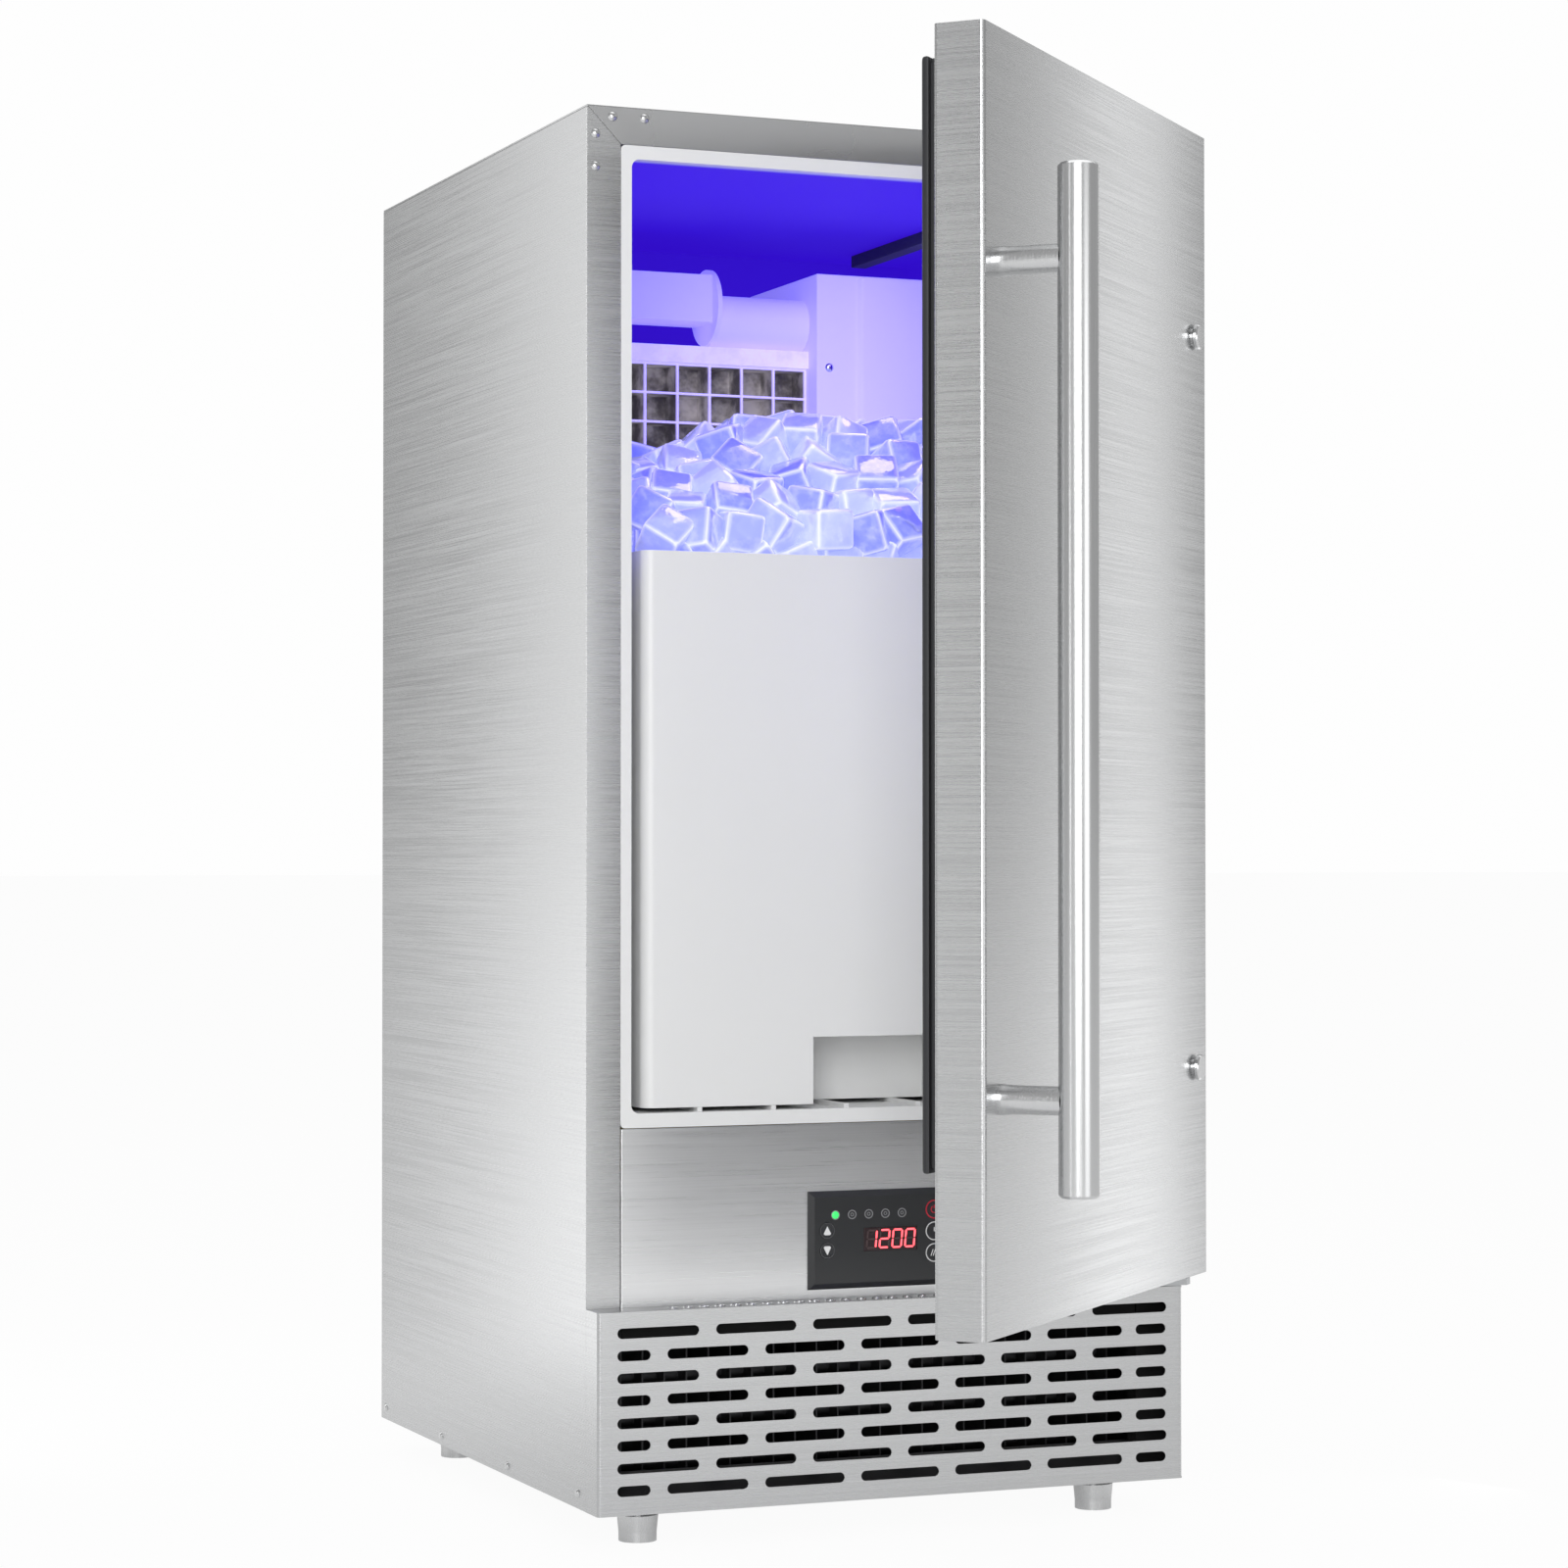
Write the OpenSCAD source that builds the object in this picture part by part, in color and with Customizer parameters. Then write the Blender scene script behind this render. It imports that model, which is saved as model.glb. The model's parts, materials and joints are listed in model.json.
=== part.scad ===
// Under-counter ice maker, modelled in millimetres.
// +Z is up, +X is to the viewer's right and +Y points to the back.
// The origin is the centre of the four feet, on the floor.

/* [Cabinet] */
// Width of the cabinet
body_w = 380; // [376:0.5:384]
// Depth of the cabinet, from the front frame to the rear panel
body_d = 414; // [410:0.5:420]
// Height of the cabinet above its feet
body_h = 820; // [816:1:830]
// Height of the feet, floor to cabinet
foot_h = 22; // [20:0.5:30]
// Distance between the foot centres across the cabinet
foot_span_x = 300; // [280:1:310]
// Distance between the foot centres from front to back
foot_span_y = 348; // [340:1:352]
// Distance of the front feet behind the front frame
foot_inset = 21.5; // [18:0.5:26]
// Width of the front frame's side flanges
flange_w = 21.1; // [20:0.1:22]
// Height of the front frame's top flange
flange_h = 22; // [21:0.1:23]
// Thickness of the sheet steel
sheet = 1; // [0.8:0.1:1.2]

/* [Lower front] */
// Height of the kick grille
kick_h = 117.4; // [112:0.2:118]
// Distance that the kick grille stands in front of the frame
kick_d = 21; // [16:0.5:24]
// Height of one ventilation slot
slot_h = 6; // [4:0.5:7]
// Length of one whole ventilation slot
slot_l = 50.5; // [44:0.5:54]
// Height of the sill between the kick grille and the storage compartment
sill_top = 221.7; // [220:0.1:223]

/* [Storage compartment] */
// Half the width of the compartment
room_x = 162; // [160:0.5:163]
// Depth of the compartment at its top
room_d = 332; // [330:1:336]
// Depth of the compartment at its floor, in front of the machine step
room_low_d = 215; // [214:0.5:218]
// Height of the compartment floor above the cabinet's underside
room_floor = 230.3; // [229:0.1:231]
// Height of the compartment ceiling above the cabinet's underside
room_top = 789.7; // [788:0.1:791]
// Thickness of the liner
liner_t = 2; // [1.5:0.1:2.5]

/* [Ice bin] */
// Width of the ice bin
bin_w = 305; // [290:1:310]
// Depth of the ice bin
bin_d = 205; // [190:1:206]
// Height of the ice bin
bin_h = 328; // [300:1:335]
// Wall thickness of the ice bin
bin_t = 3; // [2.5:0.1:4]
// How far the bin lifts off its rails
bin_lift = 12; // [4:1:20]

/* [Door] */
// Width of the door
door_w = 381; // [380:0.5:382]
// Thickness of the door panel
door_t = 28.9; // [27:0.1:30]
// Height of the door's lower edge above the cabinet's underside
door_z0 = 126.6; // [126:0.1:128]
// Height of the door's upper edge above the cabinet's underside
door_z1 = 821.5; // [821:0.1:823]
// Thickness of the door gasket
gasket_t = 12; // [11:0.5:12]
// Angle that the door stands open at rest
door_open = 43.82; // [0:0.01:110]
// Diameter of the handle bar
bar_d = 22; // [18:0.5:24]
// Length of the handle bar
bar_l = 544; // [500:1:560]
// Distance of the bar's axis in front of the door
bar_off = 44; // [38:0.5:50]

/* [Evaporator] */
// Columns of ice cells
cell_cols = 9; // [6:1:9]
// Rows of ice cells
cell_rows = 7; // [4:1:7]
// Width of one ice cell
cell_w = 22.5; // [20:0.1:22.5]
// Height of one ice cell
cell_h = 19; // [18:0.1:19]

/* [Controls] */
// Width of the control bezel
bezel_w = 94; // [92:0.5:98]
// Height of the control bezel
bezel_h = 58.4; // [58:0.1:60]
// Diameter of a round key
key_d = 9.4; // [8:0.1:9.6]
// Travel of a key
key_travel = 0.8; // [0.4:0.1:1.2]

/* [Hidden] */
$fn = 48;
// Gap left at seams and between pieces that only meet
seam = 0.2;
// Overlap used to cut right through a wall
cut = 1;
// Cabinet planes: underside, top, front frame, rear, and half its width
zc = foot_h;
zt = foot_h + body_h;
yf = -(foot_span_y / 2 + foot_inset);
yb = yf + body_d;
bx = body_w / 2;
// Inner edges of the front frame
frame_x = bx - flange_w;
frame_z = zt - flange_h;
// Depth of the folded return behind the front frame
return_d = 12;
// Compartment planes
floor_z = zc + room_floor;
ceil_z = zc + room_top;
sill_z = zc + sill_top;
room_r = 5;
step_z = zc + 470;
room_mid = (floor_z + ceil_z) / 2;
upper_mid = (step_z + ceil_z) / 2;
rail_h = 2.5;
rail_w = 3;
// Door planes, closed: rear face, front face, lower and upper edge, half its width
dyr = yf - gasket_t - 0.3;
dyf = dyr - door_t;
dz0 = zc + door_z0;
dz1 = zc + door_z1;
dx = door_w / 2;
// Hinge axis
pivot_x = 183.4;
pivot_y = yf - 22.1;
pin_r = 3.5;
bush_r = 5.5;
cap_h = 30;
// Height of the pocket that clears the upper hinge tab
pocket_h = 9.5;
// Distance of the bar and the blanking studs from the door's edges
stud_in = 23.2;
post_z = [zc + 252.5, zc + 696.5];
// Evaporator planes
evap_x0 = -158;
evap_y = yf + 230;
evap_z0 = zc + 701 - cell_rows * cell_h;
evap_x1 = evap_x0 + cell_cols * cell_w;
evap_z1 = zc + 701;
// Water side
trough_y0 = yf + 216;
trough_y1 = yf + 328;
trough_z0 = step_z + 2;
trough_z1 = step_z + 64;
cover_x0 = 45.6;
cover_y0 = yf + 213;
pump_x = 110;
pump_y = yf + 275;
float_x = 72;
feed_y = evap_y + 10;
feed_z = zc + 731;
// Machine side
fan_x = -70;
fan_y = yf + 92;
fan_z = zc + 62;
comp_x = 70;
comp_y = yf + 320;
comp_z = zc + 18;
comp_r = 62;
comp_h = 150;
// Lines that pass through the fan shroud
line_x = -100;
discharge_x = comp_x - comp_r - 13;
line_z = zc + 12;
// Control bezel centre
bezel_x = -3.5;
bezel_z = zc + 152;
key_up_at = [-38.9, zc + 157.9];
key_down_at = [-38.9, zc + 146];
key_power_at = [31, zc + 168.3];
key_timer_at = [31, zc + 155.3];
key_clean_at = [31, zc + 142.3];
lamp_x = [-33.7, -22.9, -12.1, -1.1, 9.7];
lamp_z = zc + 167;
lamp_r = 2.5;
display_at = [2.3, zc + 151.8];
display_w = 35;
display_h = 14;
// Rear connections
valve_x = -120;
valve_z = zc + 150;
spigot_x = -150;
spigot_z = zc + 30;
inlet_x = 140;
inlet_z = zc + 60;
// Colours
steel = [0.72, 0.73, 0.74];
bright = [0.85, 0.86, 0.87];
white = [0.93, 0.93, 0.94];
black = [0.07, 0.07, 0.08];
dark = [0.2, 0.21, 0.22];
copper = [0.72, 0.43, 0.25];
tin = [0.75, 0.76, 0.78];

// Box between two opposite corners
module span(a, b) {
    translate(a) cube(b - a);
}

// Rectangle with round corners, centred
module rrect(w, h, r) {
    square([w - 2 * r, h], center = true);
    square([w, h - 2 * r], center = true);
    for (sx = [-1, 1], sy = [-1, 1])
        translate([sx * (w / 2 - r), sy * (h / 2 - r)]) circle(r = r);
}

// Slot outline with round ends, centred
module slot(l, h) {
    square([l - h, h], center = true);
    for (s = [-1, 1])
        translate([s * (l - h) / 2, 0]) circle(d = h);
}

// An XZ outline carried along +Y from y for depth
module along_y(y, depth) {
    translate([0, y + depth, 0]) rotate([90, 0, 0]) linear_extrude(depth) children();
}

// Round rod along +Y, from y for depth
module rod_y(x, y, z, r, depth) {
    translate([x, y, z]) rotate([-90, 0, 0]) cylinder(r = r, h = depth);
}

// Straight round tube between two points
module rod(a, b, r) {
    v = b - a;
    l = norm(v);
    translate(a) rotate([0, acos(v[2] / l), atan2(v[1], v[0])]) cylinder(r = r, h = l, $fn = 24);
}

// Tube through a list of points, with a brazed ball at each corner
module pipe(points, r) {
    for (i = [0 : len(points) - 2])
        rod(points[i], points[i + 1], r);
    for (i = [1 : len(points) - 2])
        translate(points[i]) sphere(r = r * 1.06, $fn = 24);
}

// Domed head on a front face at y, pointing to the viewer
module dome_y(x, y, z, r, h) {
    ball = (r * r + h * h) / (2 * h);
    intersection() {
        translate([x, y + ball - h, z]) sphere(r = ball);
        rod_y(x, y - h - cut, z, r, h + cut);
    }
}

// Children turned with the door about its hinge axis
module door_pose() {
    translate([pivot_x, pivot_y, 0]) rotate([0, 0, door_open])
        translate([-pivot_x, -pivot_y, 0]) children();
}

// ---------------------------------------------------------------- cabinet

// Left side: wall, front flange with a mitred end, and its folded return
module side_sheet() {
    top = zt - sheet - seam;
    mitre_x = frame_x + (top - frame_z) * flange_w / flange_h;
    span([-bx, yf, zc], [-bx + sheet, yb, top]);
    along_y(yf, sheet)
        polygon([[-bx, zc], [-frame_x, zc], [-frame_x, frame_z], [-mitre_x, top], [-bx, top]]);
    span([-frame_x - sheet, yf, zc], [-frame_x, yf + return_d, frame_z]);
}

module side_panel_left() {
    color(steel) side_sheet();
}

module side_panel_right() {
    color(steel) mirror([1, 0, 0]) side_sheet();
}

// Top sheet with its front flange, mitred to the sides
module top_panel() {
    color(steel) {
        span([-bx, yf, zt - sheet], [bx, yb, zt]);
        along_y(yf, sheet)
            polygon([[-frame_x + 2 * seam, frame_z], [frame_x - 2 * seam, frame_z],
                     [bx - 2 * seam, zt - seam], [-bx + 2 * seam, zt - seam]]);
        span([-frame_x + seam, yf, frame_z], [frame_x - seam, yf + return_d, frame_z + sheet]);
    }
}

// Rear sheet with louvre slots and the holes of the rear connections
module rear_panel() {
    louvre_pitch = 14;
    color(tin) along_y(yb - sheet, sheet) difference() {
        translate([0, (zc + zt) / 2])
            square([body_w - 2 * sheet - 2 * seam, body_h - 2 * sheet - 4], center = true);
        for (i = [0 : 11], s = [-1, 1])
            translate([s * 48, zc + 220 + i * louvre_pitch]) slot(80, 6);
        translate([valve_x, valve_z]) circle(r = 15);
        translate([spigot_x, spigot_z]) circle(r = 9);
        translate([inlet_x, inlet_z]) square([29, 22], center = true);
    }
}

// Folded floor tray with a weld nut over each foot
module base_pan() {
    lip = 20;
    px = bx - sheet - seam;
    py0 = yf + return_d + 1;
    py1 = yb - sheet - seam;
    tray_t = 1.5;
    color(tin) difference() {
        union() {
            span([-px, py0, zc], [px, py1, zc + tray_t]);
            for (s = [-1, 1])
                span([s > 0 ? px - tray_t : -px, py0, zc], [s > 0 ? px : -px + tray_t, py1, zc + lip]);
            span([-px, py1 - tray_t, zc], [px, py1, zc + lip]);
            span([-px, py0, zc], [px, py0 + tray_t, zc + lip]);
            for (sx = [-1, 1], sy = [-1, 1])
                translate([sx * foot_span_x / 2, sy * foot_span_y / 2, zc]) cylinder(r = 9, h = 9);
        }
        for (sx = [-1, 1], sy = [-1, 1])
            translate([sx * foot_span_x / 2, sy * foot_span_y / 2, zc - cut])
                cylinder(r = 4.05, h = 9 + 2 * cut);
    }
}

// Flat sill panel that carries the control bezel
module lower_front_panel() {
    side_gap = 0.6;
    color(steel) along_y(yf, sheet) difference() {
        translate([-frame_x + side_gap, zc + kick_h - 22])
            square([2 * (frame_x - side_gap), sill_top - kick_h + 22 - seam]);
        translate([bezel_x, bezel_z]) square([bezel_w - 10, bezel_h - 8], center = true);
    }
}

// Slotted kick plate, folded at its four edges
module kick_grille() {
    row_pitch = 13;
    slot_pitch = 61.25;
    edge_x = 178.1;
    short_l = 20.4;
    fold_r = 2.5;
    vent_d = 5;
    depth = kick_d - seam;
    color(steel) {
        difference() {
            translate([0, 0, zc]) linear_extrude(kick_h) difference() {
                translate([0, yf - kick_d + depth]) rrect(body_w, 2 * depth, fold_r);
                translate([0, yf - kick_d + depth])
                    rrect(body_w - 2 * sheet, 2 * (depth - sheet), fold_r - sheet);
                translate([-bx - cut, yf - seam]) square([body_w + 2 * cut, 2 * depth]);
            }
            along_y(yf - kick_d - cut, 2 * cut + sheet) {
                for (row = [0 : 7]) {
                    z = zc + 105.1 - row * row_pitch;
                    if (row % 2 == 0) {
                        for (i = [0 : 5])
                            translate([-edge_x + slot_l / 2 + i * slot_pitch, z]) slot(slot_l, slot_h);
                    } else {
                        for (i = [0 : 4])
                            translate([-147.2 + slot_l / 2 + i * slot_pitch, z]) slot(slot_l, slot_h);
                        for (s = [-1, 1])
                            translate([s * (edge_x - short_l / 2), z]) slot(short_l, slot_h);
                    }
                }
            }
        }
        difference() {
            for (z = [zc, zc + kick_h - sheet])
                span([-bx + sheet / 2, yf - kick_d + sheet / 2, z], [bx - sheet / 2, yf - seam, z + sheet]);
            for (i = [-14 : 14])
                translate([i * 10, yf - 10, zc + kick_h - sheet - cut])
                    cylinder(d = vent_d, h = sheet + 2 * cut, $fn = 24);
        }
    }
}

// Outline of the compartment, grown by a wall
module room_outline(grow, mid, h) {
    translate([0, mid]) rrect(2 * (room_x + grow), h + 2 * grow, room_r + grow);
}

// The stepped compartment as one solid, grown by a wall, from y
module room_solid(grow, y) {
    along_y(y, yf + room_low_d + grow - y) room_outline(grow, room_mid, ceil_z - floor_z);
    along_y(y, yf + room_d + grow - y) room_outline(grow, upper_mid, ceil_z - step_z);
}

// White moulded liner with its front flange and the rails for the bin
module inner_liner() {
    color(white) {
        difference() {
            union() {
                along_y(yf, 2.5) translate([0, (sill_z + frame_z) / 2])
                    rrect(2 * (frame_x - seam), frame_z - sill_z - 2 * seam, 3);
                room_solid(liner_t, yf);
            }
            room_solid(0, yf - cut);
        }
        for (i = [-2.5 : 1 : 2.5])
            span([i * 47 - rail_w / 2, yf + 4, floor_z - sheet],
                 [i * 47 + rail_w / 2, yf + room_low_d - 6, floor_z + rail_h]);
    }
}

// Foamed-in insulation between the liner and the sheets
module foam_insulation() {
    fx = bx - sheet - 2 * seam;
    color([0.93, 0.86, 0.6]) difference() {
        span([-fx, yf + return_d + 2, zc + 196], [fx, yb - sheet - 2 * seam, zt - sheet - 2 * seam]);
        span([-fx - cut, yf + 245, zc + 190], [fx + cut, yb, zc + 442]);
        room_solid(liner_t + seam, yf);
    }
}

// Domed plugs in the hinge holes that a left-hand door would use
module frame_plugs() {
    color(bright) for (p = plug_at)
        dome_y(-p[0], yf - 0.02, zc + p[1], 2.9, 1.7);
}
plug_at = [[174.1, 813.9], [154.2, 814], [184.6, 803.3], [184.6, 784.2]];

// Screws of the side, rear, cover and hinge plates
module cabinet_screws() {
    head_r = 2.8;
    color(bright) {
        for (s = [-1, 1], p = [[14, 9], [144, 6], [279, 6], [403, 8]])
            translate([s * (bx + 0.02), yf + p[0], zc + p[1]]) rotate([0, s * 90, 0])
                cylinder(r1 = head_r, r2 = 1.8, h = 1.2);
        for (sx = [-1, 1], z = [12, 280, 560, 808])
            translate([sx * 182, yb + 0.02, zc + z]) rotate([-90, 0, 0])
                cylinder(r1 = head_r, r2 = 1.8, h = 1.2);
        dome_y(cover_x0 + 9, cover_y0 - 0.02, zc + 701.6, 3, 1.6);
        dome_y(cover_x0 + 9, cover_y0 - 0.02, trough_z1 + 20, 3, 1.6);
        for (i = [0, 1])
            dome_y(plug_at[i][0], yf - 2.52, zc + plug_at[i][1], 2.9, 1.3);
        for (i = [2, 3])
            dome_y(plug_at[i][0], yf - 0.02, zc + plug_at[i][1], 2.9, 0.2);
        for (p = [[174.5, 140], [184.5, 128], [174.5, 128]])
            dome_y(p[0], yf - 2.52, zc + p[1], 2.9, 1.5);
    }
}

// Levelling foot: flared pad on a threaded stud
module foot(sx, sy) {
    pad_h = 15.5;
    rim_h = 5;
    pad_r = 11.25;
    color(bright) translate([sx * foot_span_x / 2, sy * foot_span_y / 2, 0]) {
        cylinder(r = pad_r, h = rim_h);
        translate([0, 0, rim_h]) cylinder(r1 = pad_r, r2 = 12.25, h = pad_h - rim_h);
        cylinder(r = 4, h = zc + 12);
    }
}

module foot_front_left() {
    foot(-1, -1);
}

module foot_front_right() {
    foot(1, -1);
}

module foot_rear_left() {
    foot(-1, 1);
}

module foot_rear_right() {
    foot(1, 1);
}

// ---------------------------------------------------------------- door

// Space round the upper hinge tab and its pin, in the closed door
module tab_pocket() {
    span([pivot_x - 9, pivot_y - 13, dz1 - pocket_h], [dx + cut, dyr + cut, dz1 + cut]);
}

// Outline of the door seen from above, grown by a wall
module door_plan(grow) {
    translate([0, (dyf + dyr) / 2]) rrect(door_w + 2 * grow, door_t + 2 * grow, 2.5 + grow);
}

// Folded steel skin: front, both sides and narrow rear flanges
module door_skin() {
    rear_flange = 12;
    color(steel) door_pose() difference() {
        translate([0, 0, dz0]) linear_extrude(dz1 - dz0) difference() {
            door_plan(0);
            door_plan(-sheet);
            translate([-dx + rear_flange, dyr - 2 * sheet])
                square([door_w - 2 * rear_flange, 3 * sheet]);
        }
        tab_pocket();
    }
}

// End caps that close the skin's top and bottom and hold the bushes
module door_caps() {
    color(dark) door_pose() difference() {
        for (z = [dz0, dz1 - cap_h])
            translate([0, 0, z]) linear_extrude(cap_h) door_plan(-sheet - seam / 2);
        for (z = [dz0, dz1 - cap_h])
            translate([pivot_x, pivot_y, z - cut]) cylinder(r = bush_r, h = cap_h + 2 * cut);
        tab_pocket();
        span([-dx + 14, dyf + 6, dz0 + 4], [dx - 30, dyr - 6, dz0 + cap_h + cut]);
        span([-dx + 14, dyf + 6, dz1 - cap_h - cut], [dx - 30, dyr - 6, dz1 - 4]);
    }
}

// White inner pan with a shallow raised centre
module door_liner() {
    pan_x = dx - 12.5;
    raise = 9.5;
    pan_w = 304;
    pan_h = 540;
    pan_t = 2;
    color(white) door_pose() difference() {
        union() {
            span([-pan_x, dyr - sheet, dz0 + 1], [pan_x, dyr, dz1 - pocket_h - 1]);
            along_y(dyr - sheet, raise + sheet) translate([0, zc + 509.7]) rrect(pan_w, pan_h, 14);
        }
        along_y(dyr - sheet - cut, raise + sheet + cut - pan_t) translate([0, zc + 509.7])
            rrect(pan_w - 2 * pan_t, pan_h - 2 * pan_t, 12);
    }
}

// Foam core of the door
module door_foam() {
    end_gap = cap_h + 0.3;
    color([0.93, 0.86, 0.6]) door_pose()
        translate([0, 0, dz0 + end_gap]) linear_extrude(dz1 - dz0 - 2 * end_gap)
            door_plan(-sheet - 0.4);
}

// One frame-shaped layer of the gasket
module gasket_layer(y, depth, inset) {
    gx = dx - 9.2;
    gz0 = zc + 213;
    gz1 = zc + 806.4;
    band = 20;
    along_y(y, depth) difference() {
        translate([0, (gz0 + gz1) / 2])
            rrect(2 * (gx - inset), gz1 - gz0 - 2 * inset, 3);
        translate([0, (gz0 + gz1) / 2])
            rrect(2 * (gx - band + inset), gz1 - gz0 - 2 * (band - inset), 3);
    }
}

// Magnetic gasket: foot, groove and bulb
module door_gasket() {
    color(black) door_pose() {
        gasket_layer(dyr, 4.6, 1.2);
        gasket_layer(dyr + 4.5, 1.6, 3);
        gasket_layer(dyr + 6, gasket_t - 6, 0);
    }
}

// Round handle bar with chamfered ends
module handle_bar() {
    chamfer = 1.5;
    r = bar_d / 2;
    color(bright) door_pose() translate([-dx + stud_in, dyf - bar_off, zc + 474 - bar_l / 2]) {
        rotate_extrude() polygon([[0, 0], [r - chamfer, 0], [r, chamfer], [r, bar_l - chamfer],
                                  [r - chamfer, bar_l], [0, bar_l]]);
    }
}

// Two turned posts between the door and the bar
module handle_posts() {
    post_l = bar_off - bar_d / 2 + 1.2;
    color(bright) door_pose() for (z = post_z)
        difference() {
            translate([-dx + stud_in, dyf, z]) rotate([90, 0, 0])
                rotate_extrude() polygon([[0, 0], [8.6, 0], [8.6, 1.2], [8, 2], [8, post_l], [0, post_l]]);
            translate([-dx + stud_in, dyf - bar_off, z - 20]) cylinder(d = bar_d + 0.02, h = 40);
        }
}

// Capped studs in the holes that a left-hand handle would use
module blanking_studs() {
    color(bright) door_pose() for (z = post_z)
        translate([dx - stud_in, dyf, z]) rotate([90, 0, 0])
            rotate_extrude() polygon([[0, 0], [5.5, 0], [5.5, 1.2], [7.4, 1.2], [8, 1.8],
                                      [8, 3.6], [7.2, 4.5], [0, 4.5]]);
}

// Plain bushes in the door caps; the lower one has a thrust flange
module hinge_bushes() {
    color(white) door_pose() translate([pivot_x, pivot_y, 0]) difference() {
        union() {
            translate([0, 0, dz1 - cap_h + 1]) cylinder(r = bush_r - 0.02, h = cap_h - pocket_h - 1);
            translate([0, 0, dz0]) cylinder(r = bush_r - 0.02, h = 24);
            translate([0, 0, zc + 123.05]) cylinder(r = 6.9, h = door_z0 - 123.15);
            translate([0, 0, zc + 123.05]) cylinder(r = bush_r - 0.02, h = door_z0 - 122);
        }
        translate([0, 0, dz1 - cap_h]) cylinder(r = pin_r + 0.05, h = cap_h);
        translate([0, 0, dz0 - 5]) cylinder(r = pin_r + 0.05, h = cap_h);
    }
}

// Upper hinge: plate on the top frame, a forward tab and its pin
module hinge_top() {
    plate_t = 2.5;
    tab_z = dz1 - 6;
    half = 6.5;
    color(tin) {
        span([148, yf - plate_t, zc + 808.5], [bx - 0.1, yf - 0.02, zc + 818.5]);
        span([pivot_x - half, pivot_y, tab_z], [pivot_x + half, yf - plate_t + 0.1, tab_z + 3]);
        translate([pivot_x, pivot_y, tab_z]) cylinder(r = half, h = 3);
        translate([pivot_x, pivot_y, tab_z - 19]) cylinder(r = pin_r, h = 20);
    }
}

// Lower hinge: plate on the side flange, a shelf under the door and its pin
module hinge_bottom() {
    plate_t = 2.5;
    shelf_z = zc + 119;
    color(tin) {
        span([169.2, yf - plate_t, shelf_z], [bx - 0.1, yf - 0.02, zc + 148]);
        difference() {
            span([169.2, pivot_y - 9, shelf_z], [bx + 2.5, yf - plate_t + 0.1, shelf_z + 4]);
            translate([bx + 2.5, pivot_y - 9, shelf_z - cut]) rotate([0, 0, 45])
                cube([7, 7, 12], center = true);
        }
        translate([pivot_x, pivot_y, shelf_z]) cylinder(r = pin_r, h = 26);
    }
}

// ---------------------------------------------------------------- ice storage

// Removable bin with a hand recess at the lower front
module ice_bin() {
    z0 = floor_z + rail_h + 0.1;
    y0 = yf + 5;
    recess_x = 44.5;
    recess_h = 40;
    recess_d = 40;
    r = 7;
    color(white) difference() {
        union() {
            difference() {
                translate([0, y0 + bin_d / 2, z0]) linear_extrude(bin_h) rrect(bin_w, bin_d, r);
                translate([0, y0 + bin_d / 2, z0 + bin_t]) linear_extrude(bin_h)
                    rrect(bin_w - 2 * bin_t, bin_d - 2 * bin_t, r - bin_t);
            }
            span([-recess_x - bin_t, y0 + bin_t / 2, z0 + bin_t / 2],
                 [recess_x + bin_t, y0 + recess_d + bin_t, z0 + recess_h + bin_t]);
        }
        span([-recess_x, y0 - cut, z0 - cut], [recess_x, y0 + recess_d, z0 + recess_h]);
    }
}

// ---------------------------------------------------------------- ice making

// Tray of square cells that the ice forms in, with its top bar
module evaporator_grid() {
    wall = 1.4;
    depth = 22;
    color(bright) {
        span([evap_x0, evap_y + depth, evap_z0], [evap_x1, evap_y + depth + 2, evap_z1]);
        for (i = [0 : cell_cols])
            span([evap_x0 + i * cell_w - wall / 2, evap_y, evap_z0 - wall / 2],
                 [evap_x0 + i * cell_w + wall / 2, evap_y + depth + 1, evap_z1 + wall / 2]);
        for (j = [0 : cell_rows])
            span([evap_x0 - wall / 2, evap_y, evap_z0 + j * cell_h - wall / 2],
                 [evap_x1 + wall / 2, evap_y + depth + 1, evap_z0 + j * cell_h + wall / 2]);
        span([evap_x0 - wall / 2, evap_y - 4, evap_z1 + wall / 2],
             [evap_x1 + wall / 2, evap_y + depth + 2, evap_z1 + 12]);
        for (x = [evap_x0 + 6, evap_x1 - 10])
            span([x, evap_y + depth + 1, evap_z1 - 6], [x + 4, yf + room_d - seam, evap_z1 + 10]);
    }
}

// Serpentine copper tube behind the cells
module evaporator_coil() {
    r = 4;
    runs = 4;
    pitch = 34;
    y = evap_y + 24.1 + r;
    xa = evap_x0 + 24;
    xb = evap_x1 - 24;
    z0 = evap_z0 + 16;
    color(copper) {
        for (i = [0 : runs - 1])
            rod([xa, y, z0 + i * pitch], [xb, y, z0 + i * pitch], r);
        for (i = [0 : runs - 2])
            translate([i % 2 == 0 ? xb : xa, y, z0 + (i + 0.5) * pitch]) rotate([90, 0, 0])
                rotate([0, 0, i % 2 == 0 ? -90 : 90])
                    rotate_extrude(angle = 180) translate([pitch / 2, 0]) circle(r = r, $fn = 24);
    }
}

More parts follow.
